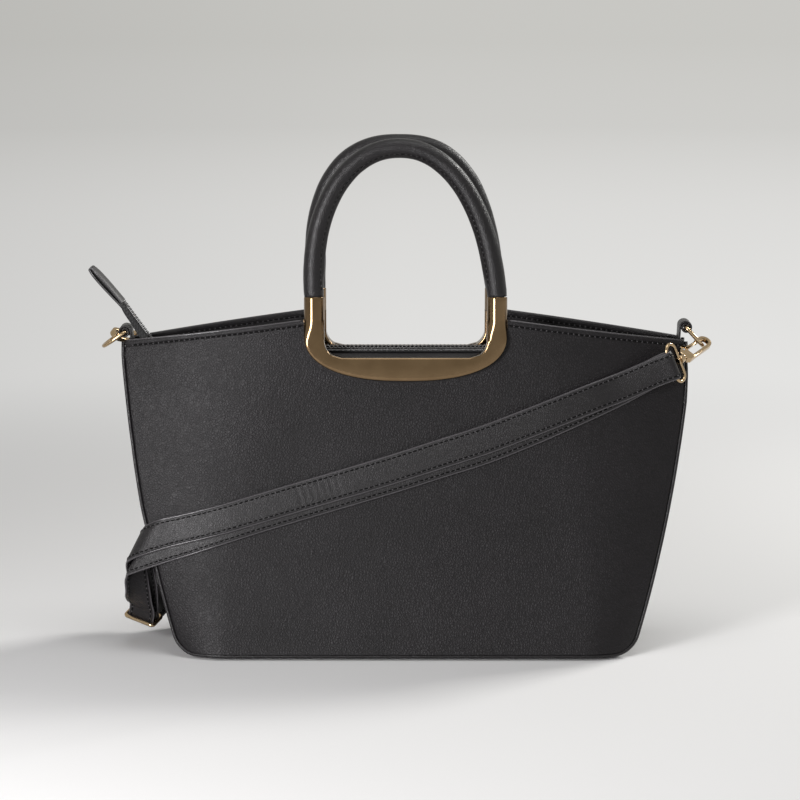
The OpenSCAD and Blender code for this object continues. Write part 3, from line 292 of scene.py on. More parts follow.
def start(name):
    """New material, its nodes, its shader and the object's own coordinates."""
    mat = bpy.data.materials.new(name)
    mat.use_nodes = True
    nt = mat.node_tree
    nt.nodes.clear()
    sh = add(nt, "BsdfPrincipled")
    add(nt, "OutputMaterial", sh.outputs[0])
    return mat, nt, sh, add(nt, "TexCoord").outputs["Object"]


def surface(nt, sh, height, strength, depth, **inputs):
    """Gives the shader its bump, from a height of that depth in metres, and its other inputs."""
    bump = add(nt, "Bump", Strength=strength, Distance=depth, Height=height)
    fill(nt, sh, Normal=bump.outputs[0], **inputs)


# Materials
def leather(name, rough=(0.36, 0.52), grain=1.8, depth=0.00021, spec=0.24):
    """Black faux leather: pebbles of that grain in millimetres, fine creases darkened by painted shade, and a
    cloudy gloss.
    """
    mat, nt, sh, co = start(name)
    warp = add(nt, "TexNoise", Vector=co, Scale=420.0, Detail=2.0, Roughness=0.5).outputs["Color"]
    warp_reach = [0.0011] * 3
    shift = add(nt, "VectorMath", warp, warp_reach, co, operation="MULTIPLY_ADD").outputs[0]
    cell = add(nt, "TexVoronoi", feature="DISTANCE_TO_EDGE", Vector=shift, Scale=1000.0 / grain,
               Randomness=1.0)
    crease = ramp(nt, cell.outputs["Distance"], [(0.0, 0.0), (0.2, 0.6), (0.45, 1.0)], "EASE")
    big, fine, cloud = speckle(nt, co, 260, 4, 0.6), speckle(nt, co, 3200, 2), speckle(nt, co, 14, 5, 0.6)
    height = number(nt, "MULTIPLY", crease, 0.75)
    height = number(nt, "MULTIPLY_ADD", big, 0.9, height)
    height = number(nt, "MULTIPLY_ADD", fine, 0.35, height)
    clouded = ramp(nt, cloud, [(0.3, 0.0), (0.7, 1.0)])
    tone = blend(nt, clouded, (0.0082, 0.0069, 0.0080), (0.0150, 0.0129, 0.0148))
    mottle = number(nt, "MULTIPLY", number(nt, "ADD", big, cloud), 0.5)
    # the base colour is darkened to 45% where the grain creases: painted shade in the creases
    surface(nt, sh, height, 1.0, depth, Base_Color=multiplied(nt, 0.55, tone, crease),
            Roughness=ranged(nt, mottle, 0.3, 0.7, rough[1], rough[0]),
            Sheen_Weight=0.02, Sheen_Roughness=0.5, Specular_IOR_Level=spec)
    return mat


def metal(name, pale, deep, rough):
    """Polished plating with faint swirls and duller spots."""
    mat, nt, sh, co = start(name)
    cloud = speckle(nt, co, 45, 4, 0.6)
    drawn = add(nt, "Mapping", Vector=co, Scale=(90.0, 90.0, 2600.0), Rotation=(0.4, 0.3, 0.2)).outputs[0]
    lines = speckle(nt, drawn, 1, 3, 0.7)
    duller = number(nt, "MULTIPLY", number(nt, "ADD", cloud, lines), 0.5)
    clouded = ramp(nt, cloud, [(0.3, 0.0), (0.62, 1.0)])
    surface(nt, sh, lines, 0.6, 0.000004, Base_Color=blend(nt, clouded, deep, pale),
            Roughness=ranged(nt, duller, 0.3, 0.75, *rough), Metallic=1.0)
    return mat


def cloth(name, dark, pale, pitch=0.5, depth=0.00006, ribs=False):
    """Woven cloth, or ribbed tape, with threads of that pitch in millimetres and painted shade between them.
    """
    mat, nt, sh, co = start(name)
    waves = []
    for axis, detail_scale in (("X", 3.0), ("Z", 3.0), ("Y", 1.0))[:1 if ribs else 3]:
        threads = add(nt, "TexWave", Vector=co, Scale=1000.0 / pitch / 6.283, Distortion=1.2, Detail=2.0,
                      Detail_Scale=detail_scale, bands_direction=axis)
        waves.append(threads.outputs["Fac"])
    height = waves[0]
    for w in waves[1:]:
        height = number(nt, "MAXIMUM", height, w)
    height = number(nt, "MULTIPLY_ADD", speckle(nt, co, 2500, 3), 0.4, height)
    # thread tops painted lighter and the hollows between them darker: painted shade of the weave
    weave_shade = ramp(nt, height, [(0.35, 0.0), (1.2, 1.0)])
    surface(nt, sh, height, 1.0, depth, Base_Color=blend(nt, weave_shade, dark, pale),
            Roughness=0.85, Sheen_Weight=0.2)
    return mat


def plain(name, base, rough, metallic=0.0, bump_size=900.0, depth=0.00003, spec=0.5):
    """Moulded plastic, thread, paint or dull steel with fine unevenness."""
    mat, nt, sh, co = start(name)
    n = speckle(nt, co, bump_size, 4, 0.6)
    tone = blend(nt, n, [0.75 * c for c in base], [1.25 * c for c in base])
    surface(nt, sh, n, 0.8, depth, Base_Color=tone,
            Roughness=ranged(nt, n, 0, 1, max(0.05, rough - 0.12), min(1.0, rough + 0.12)),
            Metallic=metallic, Specular_IOR_Level=spec)
    return mat


SKIN = leather("black_leather_body")
GRIP_SKIN = leather("black_leather_grip", rough=(0.26, 0.42), grain=1.4, depth=0.00014, spec=0.36)
STRAP_SKIN = leather("black_leather_strap", rough=(0.32, 0.46), grain=1.4, depth=0.00015, spec=0.36)
TAB_SKIN = plain("black_leather_tab", (0.015, 0.0135, 0.015), 0.36, bump_size=1100.0)
# edge paint about five times lighter than the leather: partly its own colour, partly a painted highlight on
# the rounded edges
EDGE = plain("edge_paint_and_highlight", (0.06, 0.056, 0.06), 0.22, depth=0.00002)
# leather swells between stitches, painted about four times lighter than the leather: a painted highlight
SWELL_HIGHLIGHT = plain("swollen_leather_highlight", (0.045, 0.042, 0.045), 0.26, bump_size=1800.0)
THREAD = plain("black_thread", (0.0025, 0.0024, 0.0025), 0.8, bump_size=4000.0, depth=0.00004, spec=0.15)
LINING = cloth("lining_cloth", (0.012, 0.012, 0.013), (0.03, 0.03, 0.032))
TAPE = cloth("zip_tape", (0.008, 0.008, 0.008), (0.022, 0.022, 0.023), 0.9, 0.0001, ribs=True)
# the coil is black nylon; its grey tone is a painted highlight on the loops
COIL_HIGHLIGHT = plain("zip_coil", (0.075, 0.073, 0.073), 0.2, bump_size=1500.0)
BOARD = plain("stiffener", (0.2, 0.185, 0.16), 0.8)
ANTIQUE = metal("antique_gold", (0.215, 0.145, 0.08), (0.17, 0.112, 0.06), (0.09, 0.17))
GOLD = metal("pale_gold", (0.5, 0.375, 0.235), (0.42, 0.3, 0.17), (0.06, 0.14))
STEEL = plain("plain_steel", (0.55, 0.55, 0.56), 0.32, 1.0, depth=0.00001)

# Named sizes of the part, as in its source
base_w, top_w, side_bow = 320, 393, 8
foot_h, swell_h, side_h, crown_h = 4.5, 185, 223, 240
base_d, base_seam_d, mouth_seam_d, mouth_d = 126, 100, 24, 66
face_lean, corner_r = 3, 11
wall_share_top, wall_share_base = 0.42, 0.8
panel_t, gusset_t, base_t, lining_t = 2.2, 1.8, 2.4, 0.8
facing_t, facing_z, piping_r = 1.5, 195, 1.3
window_z, window_half_w, window_r = 213.5, 57.6, 12
grip_d, grip_wall, rim_h, frame_drop = 14.5, 2.2, 43, 16.8
cast_t, backing_t = 5.4, 3.6
arch_rise, arch_skew = 104.5, 4.5
zip_z, zip_left, zip_right = 215, -166, 176
tape_w, tape_t, strip_t = 11.5, 0.8, 1.2
slider_l, end_tab_l = 10, 32
strap_w, strap_t, wire_r = 20, 2.2, 1.25
dring_half_w, dring_arm = 11, 8.2
loop_r, loop_w = 5, 18
seat, run, lay = 0.05, 0.1, 0.3
frame_half_w = window_half_w + grip_d
clamp_t = panel_t + facing_t + 2 * seat
notch_gap, notch_drop, seam_in, gusset_hollow = 3, 6.5, 3.4, 3


# Body surface
def rise_share(z):
    return hold((z - foot_h) / (side_h - foot_h))


def side_x(z):
    s = rise_share(z)
    return mix(base_w, top_w, s) / 2 + side_bow * 4 * s * (1 - s)


def corner_in(z):
    rise = min(z - foot_h, corner_r)
    return corner_r - math.sqrt(max(0.0, corner_r ** 2 - (corner_r - rise) ** 2))


def edge_x(z):
    return side_x(z) - corner_in(z)


def seam_y(z):
    return mix(base_seam_d, mouth_seam_d, rise_share(z)) / 2


def lean_y(z):
    return mouth_d / 2 + math.tan(math.radians(face_lean)) * (window_z - z)


def middle_y(z):
    s = hold((swell_h - z) / (swell_h - foot_h))
    return lean_y(z) + (base_d / 2 - lean_y(foot_h)) * s * s


def face_y(x, z):
    u = abs(x) / side_x(z)
    flat = mix(wall_share_base, wall_share_top, rise_share(z))
    fall = 0 if u <= flat else (u - flat) / (1 - flat)
    return mix(middle_y(z), seam_y(z), fall * fall)


def face_at(x, z):
    return V(x, -face_y(x, z), z)


def face_in(x, z):
    e = 0.5
    return unit(V((face_y(x + e, z) - face_y(x - e, z)) / (2 * e), 1,
                  (face_y(x, z + e) - face_y(x, z - e)) / (2 * e)))


def inside(x, z, depth):
    return face_at(x, z) + depth * face_in(x, z)


def top_z(x):
    s = hold((abs(x) - frame_half_w) / (top_w / 2 - frame_half_w))
    return mix(crown_h, side_h, s)


def on_side(points, side):
    """Points of the front face, mirrored to the back for side 1."""
    return [V(p[0], -p[1], p[2]) for p in points] if side > 0 else points


# How far the stuffed body stands out at its sides: heights and distances
left_ease = ([0, 75, 105, 150, 182, 212, 224], [0.4, 0.8, 2.1, 2.4, 3.3, 4.6, 4.2])
right_ease = ([0, 20, 75, 110, 145, 180, 200, 212, 224], [1.0, 1.1, 1.4, 2.0, 2.9, 4.4, 4.0, 2.8, 3.1])


def eased_out(points):
    """Lets the sides out from the flat pattern, less at the back's top corners."""
    out = []
    for p in points:
        u = hold(abs(p[0]) / side_x(p[2]) if p[2] > 0 else 1.0)
        heights, reach = left_ease if p[0] < 0 else right_ease
        back = hold((p[1] + 6) / 16) * hold((p[2] - 150) / 40) * (0.85 if p[0] < 0 else 0.2)
        shift = np.interp(p[2], heights, reach) * u ** 4 * (1 - back)
        out.append(V(p[0] + math.copysign(shift, p[0]), p[1], p[2]))
    return out


# Columns of the face: place at the window's height and height of the cut edge
top_cut, stitch_drop = 0.9, 3.0
key_columns = [
    (0, notch_drop), (window_half_w * 0.7, notch_drop), (window_half_w * 0.87, notch_drop * 0.85),
    (window_half_w * 0.98, notch_drop * 0.3), (window_half_w + notch_gap * 0.9, -window_r * 0.7),
]
outer_columns = [window_half_w + notch_gap, frame_half_w * 1.17, top_w * 0.29, top_w * 0.36,
                 top_w * 0.42, top_w * 0.475, top_w * 0.5]
half_columns = [(x, window_z - drop - top_cut) for x, drop in spread(key_columns, 6)]
half_columns += [(float(x), top_z(float(x)) - top_cut) for x in spread(outer_columns, 9)]
columns = [(-x, z) for x, z in half_columns[:0:-1]] + half_columns
top_steps = [0.7, 1.3, 1.9, 2.3, 2.65, stitch_drop, 3.35, 3.8, 4.8, 6.4, 9, 13]


def column_x(x0, z):
    """Place of a column at a height; the columns spread out as the face does."""
    return math.copysign(min(1.0, abs(x0) / side_x(window_z)), x0) * edge_x(z)


def sewn(x0):
    return abs(x0) > window_half_w + 1


def side_rows(arc_steps, wall_steps, top):
    """Heights and slopes up the side: round the bottom corner, then straight."""
    rows = [(foot_h + corner_r * (1 - cos(a)), a) for a in np.linspace(0, 90, arc_steps)]
    return rows + [(z, 90) for z in np.linspace(foot_h + corner_r, top, wall_steps)[1:]]


def column_rows(top):
    return [z for z, _ in side_rows(13, 34, top - 16.5)] + [top - d for d in reversed(top_steps)] + [top]


def rounded_edge(a, b, angles, rise=1.0):
    """Points of the rounded cut edge from a to b."""
    mid, half = (a + b) / 2, (a - b) / 2
    up = square_to(V(0, 0, 1), unit(a - b))
    return [mid + half * cos(t) + up * np.linalg.norm(half) * sin(t) * rise for t in angles]


def sag(x, z, side):
    """Soft unevenness of the skin, none at the seams and round the frame."""
    p = (x, side * 40, z)
    s = 0.34 * wave(p, 95, 3.7) + 0.14 * wave(p, 38, 9.1)
    edge = hold((edge_x(z) - abs(x)) / 22) * hold((z - foot_h) / 18) * hold((top_z(x) - z - 8) / 22)
    near = hold((math.hypot(x / 1.35, max(0, window_z - z) * 1.3) - frame_half_w * 0.72) / 16)
    return s * edge * near


def panel_mesh(side):
    rings = []
    for x0, top in columns:
        outer, inner = [], []
        for z in column_rows(top):
            x, d = column_x(x0, z), top - z
            lift = sag(x, z, side)
            if sewn(x0):
                lift += 0.25 * bell(d - 1.4, 0.9) + 0.14 * bell(d - 4.6, 1.1)
                lift -= 0.45 * bell(d - stitch_drop, 0.5)
            hem = hold(1 - (edge_x(z) - abs(x)) / 1.2)
            outer.append(inside(x, z, -lift + 0.25 * hem))
            inner.append(inside(x, z, panel_t))
            inner[-1][2] = max(inner[-1][2], foot_h)
        rings.append(outer + rounded_edge(outer[-1], inner[-1], (30, 60, 90, 120, 150), 0.9) + inner[::-1])
    pts, faces = loft_mesh(rings)
    return eased_out(on_side(pts, side)), faces


for side, name in FACES:
    piece(name + "_panel_skin", *panel_mesh(side), SKIN, [name + "_panel"])


# Facing: band inside the mouth, with its own stitch line
def facing_mesh():
    rings = []
    for x0, top in [c for c in columns if abs(c[0]) < top_w * 0.482]:
        zs = list(np.linspace(facing_z, top - 7.5, 8))
        zs += [top - d for d in (6.2, 4.9, 3.7, 3.3, 3.0, 2.7, 2.2, 1.2, 0)]
        outer, inner = [], []
        for z in zs:
            x = column_x(x0, z)
            groove = 0.25 * bell(top - z - stitch_drop, 0.5) if sewn(x0) else 0
            outer.append(inside(x, z, panel_t + seat))
            inner.append(inside(x, z, panel_t + seat + facing_t - groove))
        rings.append(outer + rounded_edge(outer[-1], inner[-1], (36, 72, 108, 144)) + inner[::-1])
    return loft_mesh(rings)


pts, faces = facing_mesh()
for side, name in FACES:
    piece(name + "_facing_skin", eased_out(on_side(pts, side)), faces, SKIN, [name + "_facing"])


paint_r, paint_rise = 0.72, 0.62
facing_seam_depth = panel_t + seat + facing_t - 0.1
panel_seam_depth = 0.12


def mouth_seam(end, side, depth, way, count=60):
    """Points and normals of the stitch line under the mouth's edge, at that depth in the face."""
    path, normals = [], []
    for x0 in np.linspace(frame_half_w + 1.2, top_w / 2 - 3.2, 60)[:count]:
        z = top_z(x0) - top_cut - stitch_drop
        x = column_x(end * x0, z)
        path.append(inside(x, z, depth))
        normals.append(way * face_in(x, z))
    return eased_out(on_side(path, side)), on_side(normals, side)


quarters = [(end, side) for end in (-1, 1) for side in (-1, 1)]
stitches("mouth_stitches", [mouth_seam(*q, panel_seam_depth, -1) for q in quarters])
stitches("facing_stitches", [mouth_seam(*q, facing_seam_depth, 1, 56) for q in quarters], lift=0.04)


def mouth_edge_path(end):
    """Edge paint along the mouth, its pale grey partly a painted highlight."""
    path = []
    for x0 in np.linspace(frame_half_w + 1.5, top_w / 2 - 1.2, 70):
        top = top_z(x0) - top_cut
        path.append(inside(column_x(end * x0, top), top + paint_rise, panel_t * 0.42))
    return path


for side, name in FACES:
    for end, end_name in ENDS:
        path = eased_out(on_side(mouth_edge_path(end), side))
        piece("mouth_edge_" + name + "_" + end_name, *tube_mesh(path, paint_r, V(0, 1, 0), 10), EDGE)


# Gussets, with a soft fold line down the middle
def gusset_normal(a):
    return V(-sin(a), 0, cos(a))


def gusset_mesh(side):
    top = side_h - 1
    rings = []
    for z, a in side_rows(11, 40, top - 6) + [(top - d, 90) for d in (4, 2.5, 1.2, 0.5)]:
        n = gusset_normal(a)
        x, bow = edge_x(z), sin(180 * rise_share(z))
        outer, inner = [], []
        for s in np.linspace(-1, 1, 33):
            hollow = gusset_hollow * bow * bow * (1 - s * s)
            fold = 0.5 * bow * bell(s, 0.05)
            p = V(x, s * (face_y(x, z) - seam_in), z)
            soft = 0.22 * wave((side * 60, p[1], z), 40, 5.0) * (1 - s * s) * bow
            outer.append(p + (hollow + fold + soft) * n)
            inner.append(p + (gusset_t + hollow) * n)
        rings.append(outer + inner[::-1])
    rounding = list(zip(outer, inner))
    for k, t in enumerate((0.25, 0.4)):
        up = V(0, 0, 0.25 * (k + 1))
        rings.append([mix(o, q, t) + up for o, q in rounding]
                     + [mix(q, o, t) + up for o, q in rounding[::-1]])
    pts, faces = loft_mesh(rings)
    return eased_out([V(side * p[0], p[1], p[2]) for p in pts]), faces


for side, name in ENDS:
    piece(name + "_gusset_skin", *gusset_mesh(side), SKIN, [name + "_gusset"], sharp=60)


# Piping: one cord round each face
def piping_line():
    out, half = piping_r + seat, []
    for z, a in side_rows(15, 44, side_h - 1)[::-1]:
        n = gusset_normal(a)
        x = edge_x(z)
        half.append(V(x - n[0] * out, -(face_y(x, z) - seam_in / 2), z - n[2] * out))
    for s in np.linspace(0.93, 0.0, 30):
        x = s * edge_x(foot_h)
        half.append(V(x, -(face_y(x, foot_h) - seam_in / 2), foot_h - out))
    return half + [V(-p[0], p[1], p[2]) for p in half[-2::-1]]


for side, name in FACES:
    path = eased_out(on_side(piping_line(), side))
    r = [piping_r * (1 + 0.03 * wave(p, 9, 2.0)) for p in path]
    piece(name + "_piping_cord", *tube_mesh(path, r, V(0, 1, 0), 14), GRIP_SKIN, [name + "_piping"])


# Base: sewn leather, with stitches all round
def base_outline():
    row = []
    for s in np.linspace(-1, 1, 60):
        x = s * (edge_x(foot_h) - seat)
        row.append((x, inside(x, foot_h + 1.2, panel_t + 0.75)[1]))
    return row + [(x, -y) for x, y in row[::-1]]


def base_mesh():
    levels = ((0.2, 0), (0.0, 0.3), (0.0, base_t - 0.3), (0.2, base_t))
    return loft_mesh([[V(x * (1 - k / 150), y * (1 - k / 60), foot_h + up) for x, y in base_outline()]
                      for k, up in levels])


piece("base_skin", *base_mesh(), SKIN, ["base_panel"], sharp=50)
line = [V(x * 0.965, y * 0.9, foot_h) for x, y in base_outline()]
line.append(line[0])
stitches("base_stitches", [(line, [V(0, 0, -1)] * len(line))], lift=-0.05, swollen=False)


# Lining with slack folds
def lining_ring(z, depth):
    reach = edge_x(z) - (gusset_t + gusset_hollow + lay) - depth
    flat = []
    for s in np.linspace(-1, 1, 28):
        soft = 0.25 * (1 + wave((s * 160, 20, z), 26, 4.4)) * hold((z - 14) / 20) * hold((190 - z) / 20)
        p = inside(s * reach, z, panel_t + 0.9 + depth + soft)
        flat.append(V(p[0], p[1], z))
    return flat + on_side(flat[::-1], 1)


lining_floor, lining_top = 10.3, facing_z - 0.6
rings = [lining_ring(z, 0) for z in np.linspace(lining_floor, lining_top, 26)]
rings += [lining_ring(z, lining_t) for z in np.linspace(lining_top, lining_floor + lining_t, 26)]
piece("lining_bag", *loft_mesh(rings), LINING, ["lining"], "lining_cloth", sharp=60)


# Handle frames, made flat and then leaned on the face
def oval(t, power):
    return V(signed_power(cos(t), 2 / power), signed_power(sin(t), 2 / power))


frame_mid_z, panel_top_local = 17, crown_h - window_z
leg_x, grip_y = window_half_w + grip_d / 2, clamp_t / 2


def on_front(p):
    """From the flat handle frame to the front face."""
    x, y, z = p
    c, s = cos(-face_lean), sin(-face_lean)
    return V(x, c * y - s * z - lean_y(window_z), s * y + c * z + window_z)


def cast_outer(t):
    o = oval(t, 2.4)
    return V(frame_half_w * o[0], frame_mid_z + (frame_drop + frame_mid_z) * o[1])


def cast_inner(t):
    o = cast_outer(t)
    flat_x = window_half_w - window_r
    x = max(-flat_x, min(flat_x, o[0] * 0.8))
    away = V(0, -1) if abs(x) < flat_x else unit(V(o[0] - x, min(o[1] - window_r, 0)))
    return V(x, window_r) + window_r * away


def frame_pairs(leg_heights, arc_steps):
    """Inner and outer points down the left leg, under the window and up the right leg."""
    left = [(V(-window_half_w, z), V(-frame_half_w, z)) for z in leg_heights]
    arc = [(cast_inner(t), cast_outer(t)) for t in np.linspace(180, 360, arc_steps)[2:-2]]
    return left + arc + [(V(window_half_w, z), V(frame_half_w, z)) for z in leg_heights[::-1]]


def dome_ring(inner, outer, back, thick, n, legs):
    """Flat at the back and crowned at the front; with legs, it turns round towards the grips."""
    ring = [V(inner[0], back, inner[1])]
    flat = hold((panel_top_local - (inner[1] + outer[1]) / 2) / 19) if legs else 1.0
    flat = flat * flat * (3 - 2 * flat)
    for a in np.linspace(0, 180, n):
        u = -signed_power(cos(a), 0.4)
        y = back - thick * (0.3 + 0.66 * (1 - abs(u) ** 7) ** (1 / 7) + 0.04 * (1 - u * u))
        u = mix(sin(a - 90), u, flat)
        y = mix(min(back, grip_y - grip_d / 2 * cos(a - 90)), y, flat)
        p = mix(inner, outer, (1 + u) / 2)
        ring.append(V(p[0], y, p[1]))
    return ring + [V(outer[0], back, outer[1])]


def casting_mesh():
    pairs = frame_pairs(np.linspace(panel_top_local + 0.3, 18.2, 9), 121)
    return loft_mesh([dome_ring(i, o, -seat, cast_t, 33, True) for i, o in pairs])


def backing_mesh():
    pairs = frame_pairs(np.linspace(panel_top_local - 0.1, 19, 4), 91)
    rings = [dome_ring(i, o, 0, backing_t, 13, False) for i, o in pairs]
    return loft_mesh([[V(x, clamp_t + seat - y, z) for x, y, z in ring] for ring in rings])


def leg_mesh(end):
    """Round leg with a hollow top, into which the grip goes."""
    r, inner = grip_d / 2, grip_d / 2 - grip_wall + run
    steps = [(panel_top_local + seat, r), (rim_h - 3.2, r), (rim_h - 1.0, r), (rim_h - 0.45, r - 0.08),
             (rim_h - 0.12, r - 0.3), (rim_h, r - 0.7), (rim_h, inner + 0.2), (rim_h - 4, inner)]
    return loft_mesh([round_ring(V(end * leg_x, grip_y, z), V(1, 0, 0), V(0, 1, 0), q, 48) for z, q in steps])


def lip_mesh():
    """Rim of the window over the panel's cut edge."""
    def outline(grow):
        r, flat_x = window_r + grow, window_half_w - window_r
        arcs = [(end * flat_x + r * cos(a), window_r + r * sin(a))
                for end, first in ((-1, 180), (1, 270)) for a in np.linspace(first, first + 90, 19)]
        return ([(-window_half_w - grow, panel_top_local)] + arcs + [(window_half_w + grow, panel_top_local)])
    rings = []
    for (xo, zo), (xi, zi) in zip(outline(1.3), outline(0.02)):
        rings.append([V(xi, -1, zi), V(xi, clamp_t, zi), V(xo, clamp_t, zo), V(xo, -1, zo)])
    return loft_mesh(rings)


frame_meshes = (("frame", join([casting_mesh(), leg_mesh(-1), leg_mesh(1), lip_mesh()])),
                ("backing", backing_mesh()))
for side, name in FACES:
    for part, (pts, faces) in frame_meshes:
        pts = on_side([on_front(p) for p in pts], side)
        piece(name + "_" + part + "_gold", pts, faces, ANTIQUE, [name + "_handle_" + part], "antique_gold",
              sharp=38)


# Grips: leather tube, sewn along its inner side
arch_extra, seam_angle, flange_h = 1.1, 36, 1.25


def arch_at(t, power):
    o = oval(t, power)
    lift = abs(o[1])
    x = leg_x * o[0] - arch_skew * (1 - (1 - lift) ** 2)
    return V(x, grip_y, rim_h + (arch_rise + arch_extra) * lift)


def grip_mesh(power, seed):
    fine = [arch_at(t, power) for t in np.linspace(180, 0, 1500)]
    along = lengths_along(fine)
    total = along[-1]
    path = points_at(fine, along, np.linspace(0, total, 190)) + V(0, 0, seat)
    middle = V(0, grip_y, rim_h + arch_rise * 0.3)
    rings, seams = [], [([], []), ([], [])]
    for i, (p, d) in enumerate(zip(path, tangents(path))):
        u = square_to(middle - p, d)
        v = np.cross(d, u)
        s = i / (len(path) - 1) * total
        ends = min(s, total - s)
        neck = (1 - 0.05 * bell(ends, 2.6)) * (1 - 0.13 * hold(ends / (0.42 * total)) ** 0.8)
        flange = 0.5 * (1 - cos(180 * hold((ends - 2) / 20)))
        ring = []
        for a in np.linspace(0, 360, 45)[:-1]:
            b = abs(a if a <= 180 else a - 360)
            out = cos(a) * u + sin(a) * v
            r = grip_d / 2 * neck + flange * (flange_h * bell(b, 15) - 0.3 * bell(b - seam_angle, 8))
            q = p + r * out
            soft = 0.16 * wave(q + V(seed * 31, 0, 0), 15, seed) + 0.05 * wave(q, 5, seed)
            pucker = 0.10 * math.sin(s / 3.0 * 2 * math.pi) * bell(b - 24, 16)
            ring.append(p + (r + (soft + pucker) * hold(ends / 6)) * out)
        rings.append(ring)
        if 3 < s < total - 3:
            for (points, normals), a in zip(seams, (-seam_angle, seam_angle)):
                out = cos(a) * u + sin(a) * v
                points.append(p + (grip_d / 2 * neck - 0.3 * flange - 0.05) * out)
                normals.append(out)
    return loft_mesh(rings), seams


for side, name, power in ((-1, "front", 2.1), (1, "back", 2.5)):
    (pts, faces), seams = grip_mesh(power, 1.0 + side)
    pts = on_side([on_front(p) for p in pts], side)
    seams = [(on_side([on_front(p) for p in points], side),
              on_side([on_front(q) - on_front(V(0, 0, 0)) for q in normals], side))
             for points, normals in seams]
    piece(name + "_grip_skin", pts, faces, GRIP_SKIN, [name + "_handle_cover"])
    stitches(name + "_grip_stitches", seams, lift=0.02, r=0.36)

# Zip: strips, tapes and coils
strip_in_y, strip_drop = tape_w - 0.5, 4
tape_gap, teeth_z, teeth_right = 1.3, zip_z + tape_t, zip_right - slider_l - 2
coil_pitch, row_rise, row_sink, row_reach = 2.9, 0.7, 0.25, 72


def in_window(x):
    """1 along the window, 0 beyond it."""
    return hold((row_reach - abs(x)) / 10)


def row_lift(x, side):
    """In the window the back row stands up a little and the front row sinks."""
    return (row_rise if side > 0 else -row_sink) * in_window(x)


def strip_out_y(x):
    step = hold((frame_half_w + 2.2 - abs(x)) / 2)
    return -inside(x, zip_z - strip_drop, clamp_t + 2 * lay + backing_t * step)[1]


def strip_mesh():
    rings = []
    for x in np.linspace(zip_left, zip_right, 120):
        top, low = [], []
        for s in np.linspace(0, 1, 9):
            y = -mix(strip_out_y(x), strip_in_y, s)
            z = zip_z - seat - strip_drop * (1 - s)
            groove = 0.18 * bell(s - 0.86, 0.06)
            top.append(V(x, y, z - groove + 0.12 * wave((x, y, 0), 22, 1.4) * sin(180 * s)))
            low.append(V(x, y, z - strip_t))
        edge = [V(x, top[-1][1] + 0.3, top[-1][2] - 0.3), V(x, top[-1][1] + 0.3, low[-1][2] + 0.3)]
        rings.append(top + edge + low[::-1])
    return loft_mesh(rings)


def tape_mesh(side):
    rings = []
    for x in np.linspace(zip_left, zip_right, 60):
        top, low = [], []
        for y in np.linspace(-tape_gap - tape_w, -tape_gap, 12):
            h = row_lift(x, side) * bell(abs(y) - tape_gap, 3.2)
            top.append(V(x, y, zip_z + tape_t + h + (0.0 if abs(y) > 5 else -0.12)))
            low.append(V(x, y, zip_z + 0.02 + h))
        rings.append(top + low[::-1])
    return loft_mesh(rings)


def coil_mesh(side, shift):
    """Loops of the coil, flattened, each with its head at the middle line; fuller in the window."""
    x0, x1 = zip_left + 1, teeth_right - 0.5
    narrow, full = V(1.88, 0.6, 0.8, 0.26, 0.48), V(1.5, 1.15, 0.95, 0.5, 0.56)
    parts = []
    for x in np.arange(x0 + shift * coil_pitch, x1, coil_pitch):
        y, half_y, z, half_z, r = mix(narrow, full, in_window(x))
        loop = [V(x + 0.24 * signed_power(sin(a), 0.5), side * (y + half_y * cos(a)),
                  teeth_z + row_lift(x, side) + z + half_z * sin(a)) for a in np.linspace(0, 360, 13)[:-1]]
        parts.append(tube_mesh(loop, r, V(0.2, 0.1, 1), 6, closed=True))
    cord = [V(x, side * 2.1, teeth_z + row_lift(x, side) + 0.5) for x in np.linspace(x0, x1, 90)]
    return join(parts + [tube_mesh(cord, 0.7, V(0, 0, 1), 8)])


pts, faces = strip_mesh()
for side, name in FACES:
    piece(name + "_strip_skin", on_side(pts, side), faces, SKIN, [name + "_zip_strip"], sharp=50)
for side, name in FACES:
    pts, faces = tape_mesh(side)
    piece(name + "_tape_cloth", on_side(pts, side), faces, TAPE, [name + "_zip_tape"], "zip_tape", sharp=50)
row = [V(x, -strip_in_y - 0.9, zip_z + tape_t) for x in np.linspace(zip_left + 1, zip_right - 1, 20)]
up = [V(0, 0, 1)] * len(row)
stitches("zip_stitches", [(row, up), (on_side(row, 1), up)], "zip_tape", lift=0.05, r=0.2, swollen=False)
for side, name in FACES:
    piece(name + "_coil", *coil_mesh(side, 0.0 if side < 0 else 0.5), COIL_HIGHLIGHT, [name + "_zip_teeth"], "zip_coil")

# Free end of the zip: place of its ridge, its share of the tape's width and how far it folds
tail_keys = [
    V(-167.6, 0, 215.9, 0.95, 4), V(-172, 0, 216.2, 0.95, 8), V(-177.4, 0, 218, 0.85, 20),
    V(-182.4, 0, 221.6, 0.7, 36), V(-187, 0, 227.6, 0.58, 46), V(-191.6, 0, 234, 0.52, 50),
    V(-196, 0, 240, 0.5, 46), V(-200.2, 0, 246, 0.48, 34), V(-203.8, 0, 250.8, 0.42, 14),
]


def tail_tape_mesh():
    line = catmull(tail_keys, 1.2)
    rings = []
    for i, (k, d) in enumerate(zip(line, tangents([k[:3] for k in line]))):
        up = np.cross(d, V(0, -1, 0))
        w, fold = k[3] * tape_w, k[4]
        top = []
        for s in np.linspace(-1, 1, 15):
            ease = math.sqrt((abs(s) * w) ** 2 + 0.8) - math.sqrt(0.8)
            ripple = 0.35 * math.sin(i * 0.33 + (1.5 if s > 0 else 0)) * s ** 2 * 0.5
            top.append(k[:3] + V(0, s * w * cos(fold), 0) - (ease * sin(fold) + ripple) * up)
        rings.append(top + [p - tape_t * up for p in top[::-1]])
    return loft_mesh(rings)


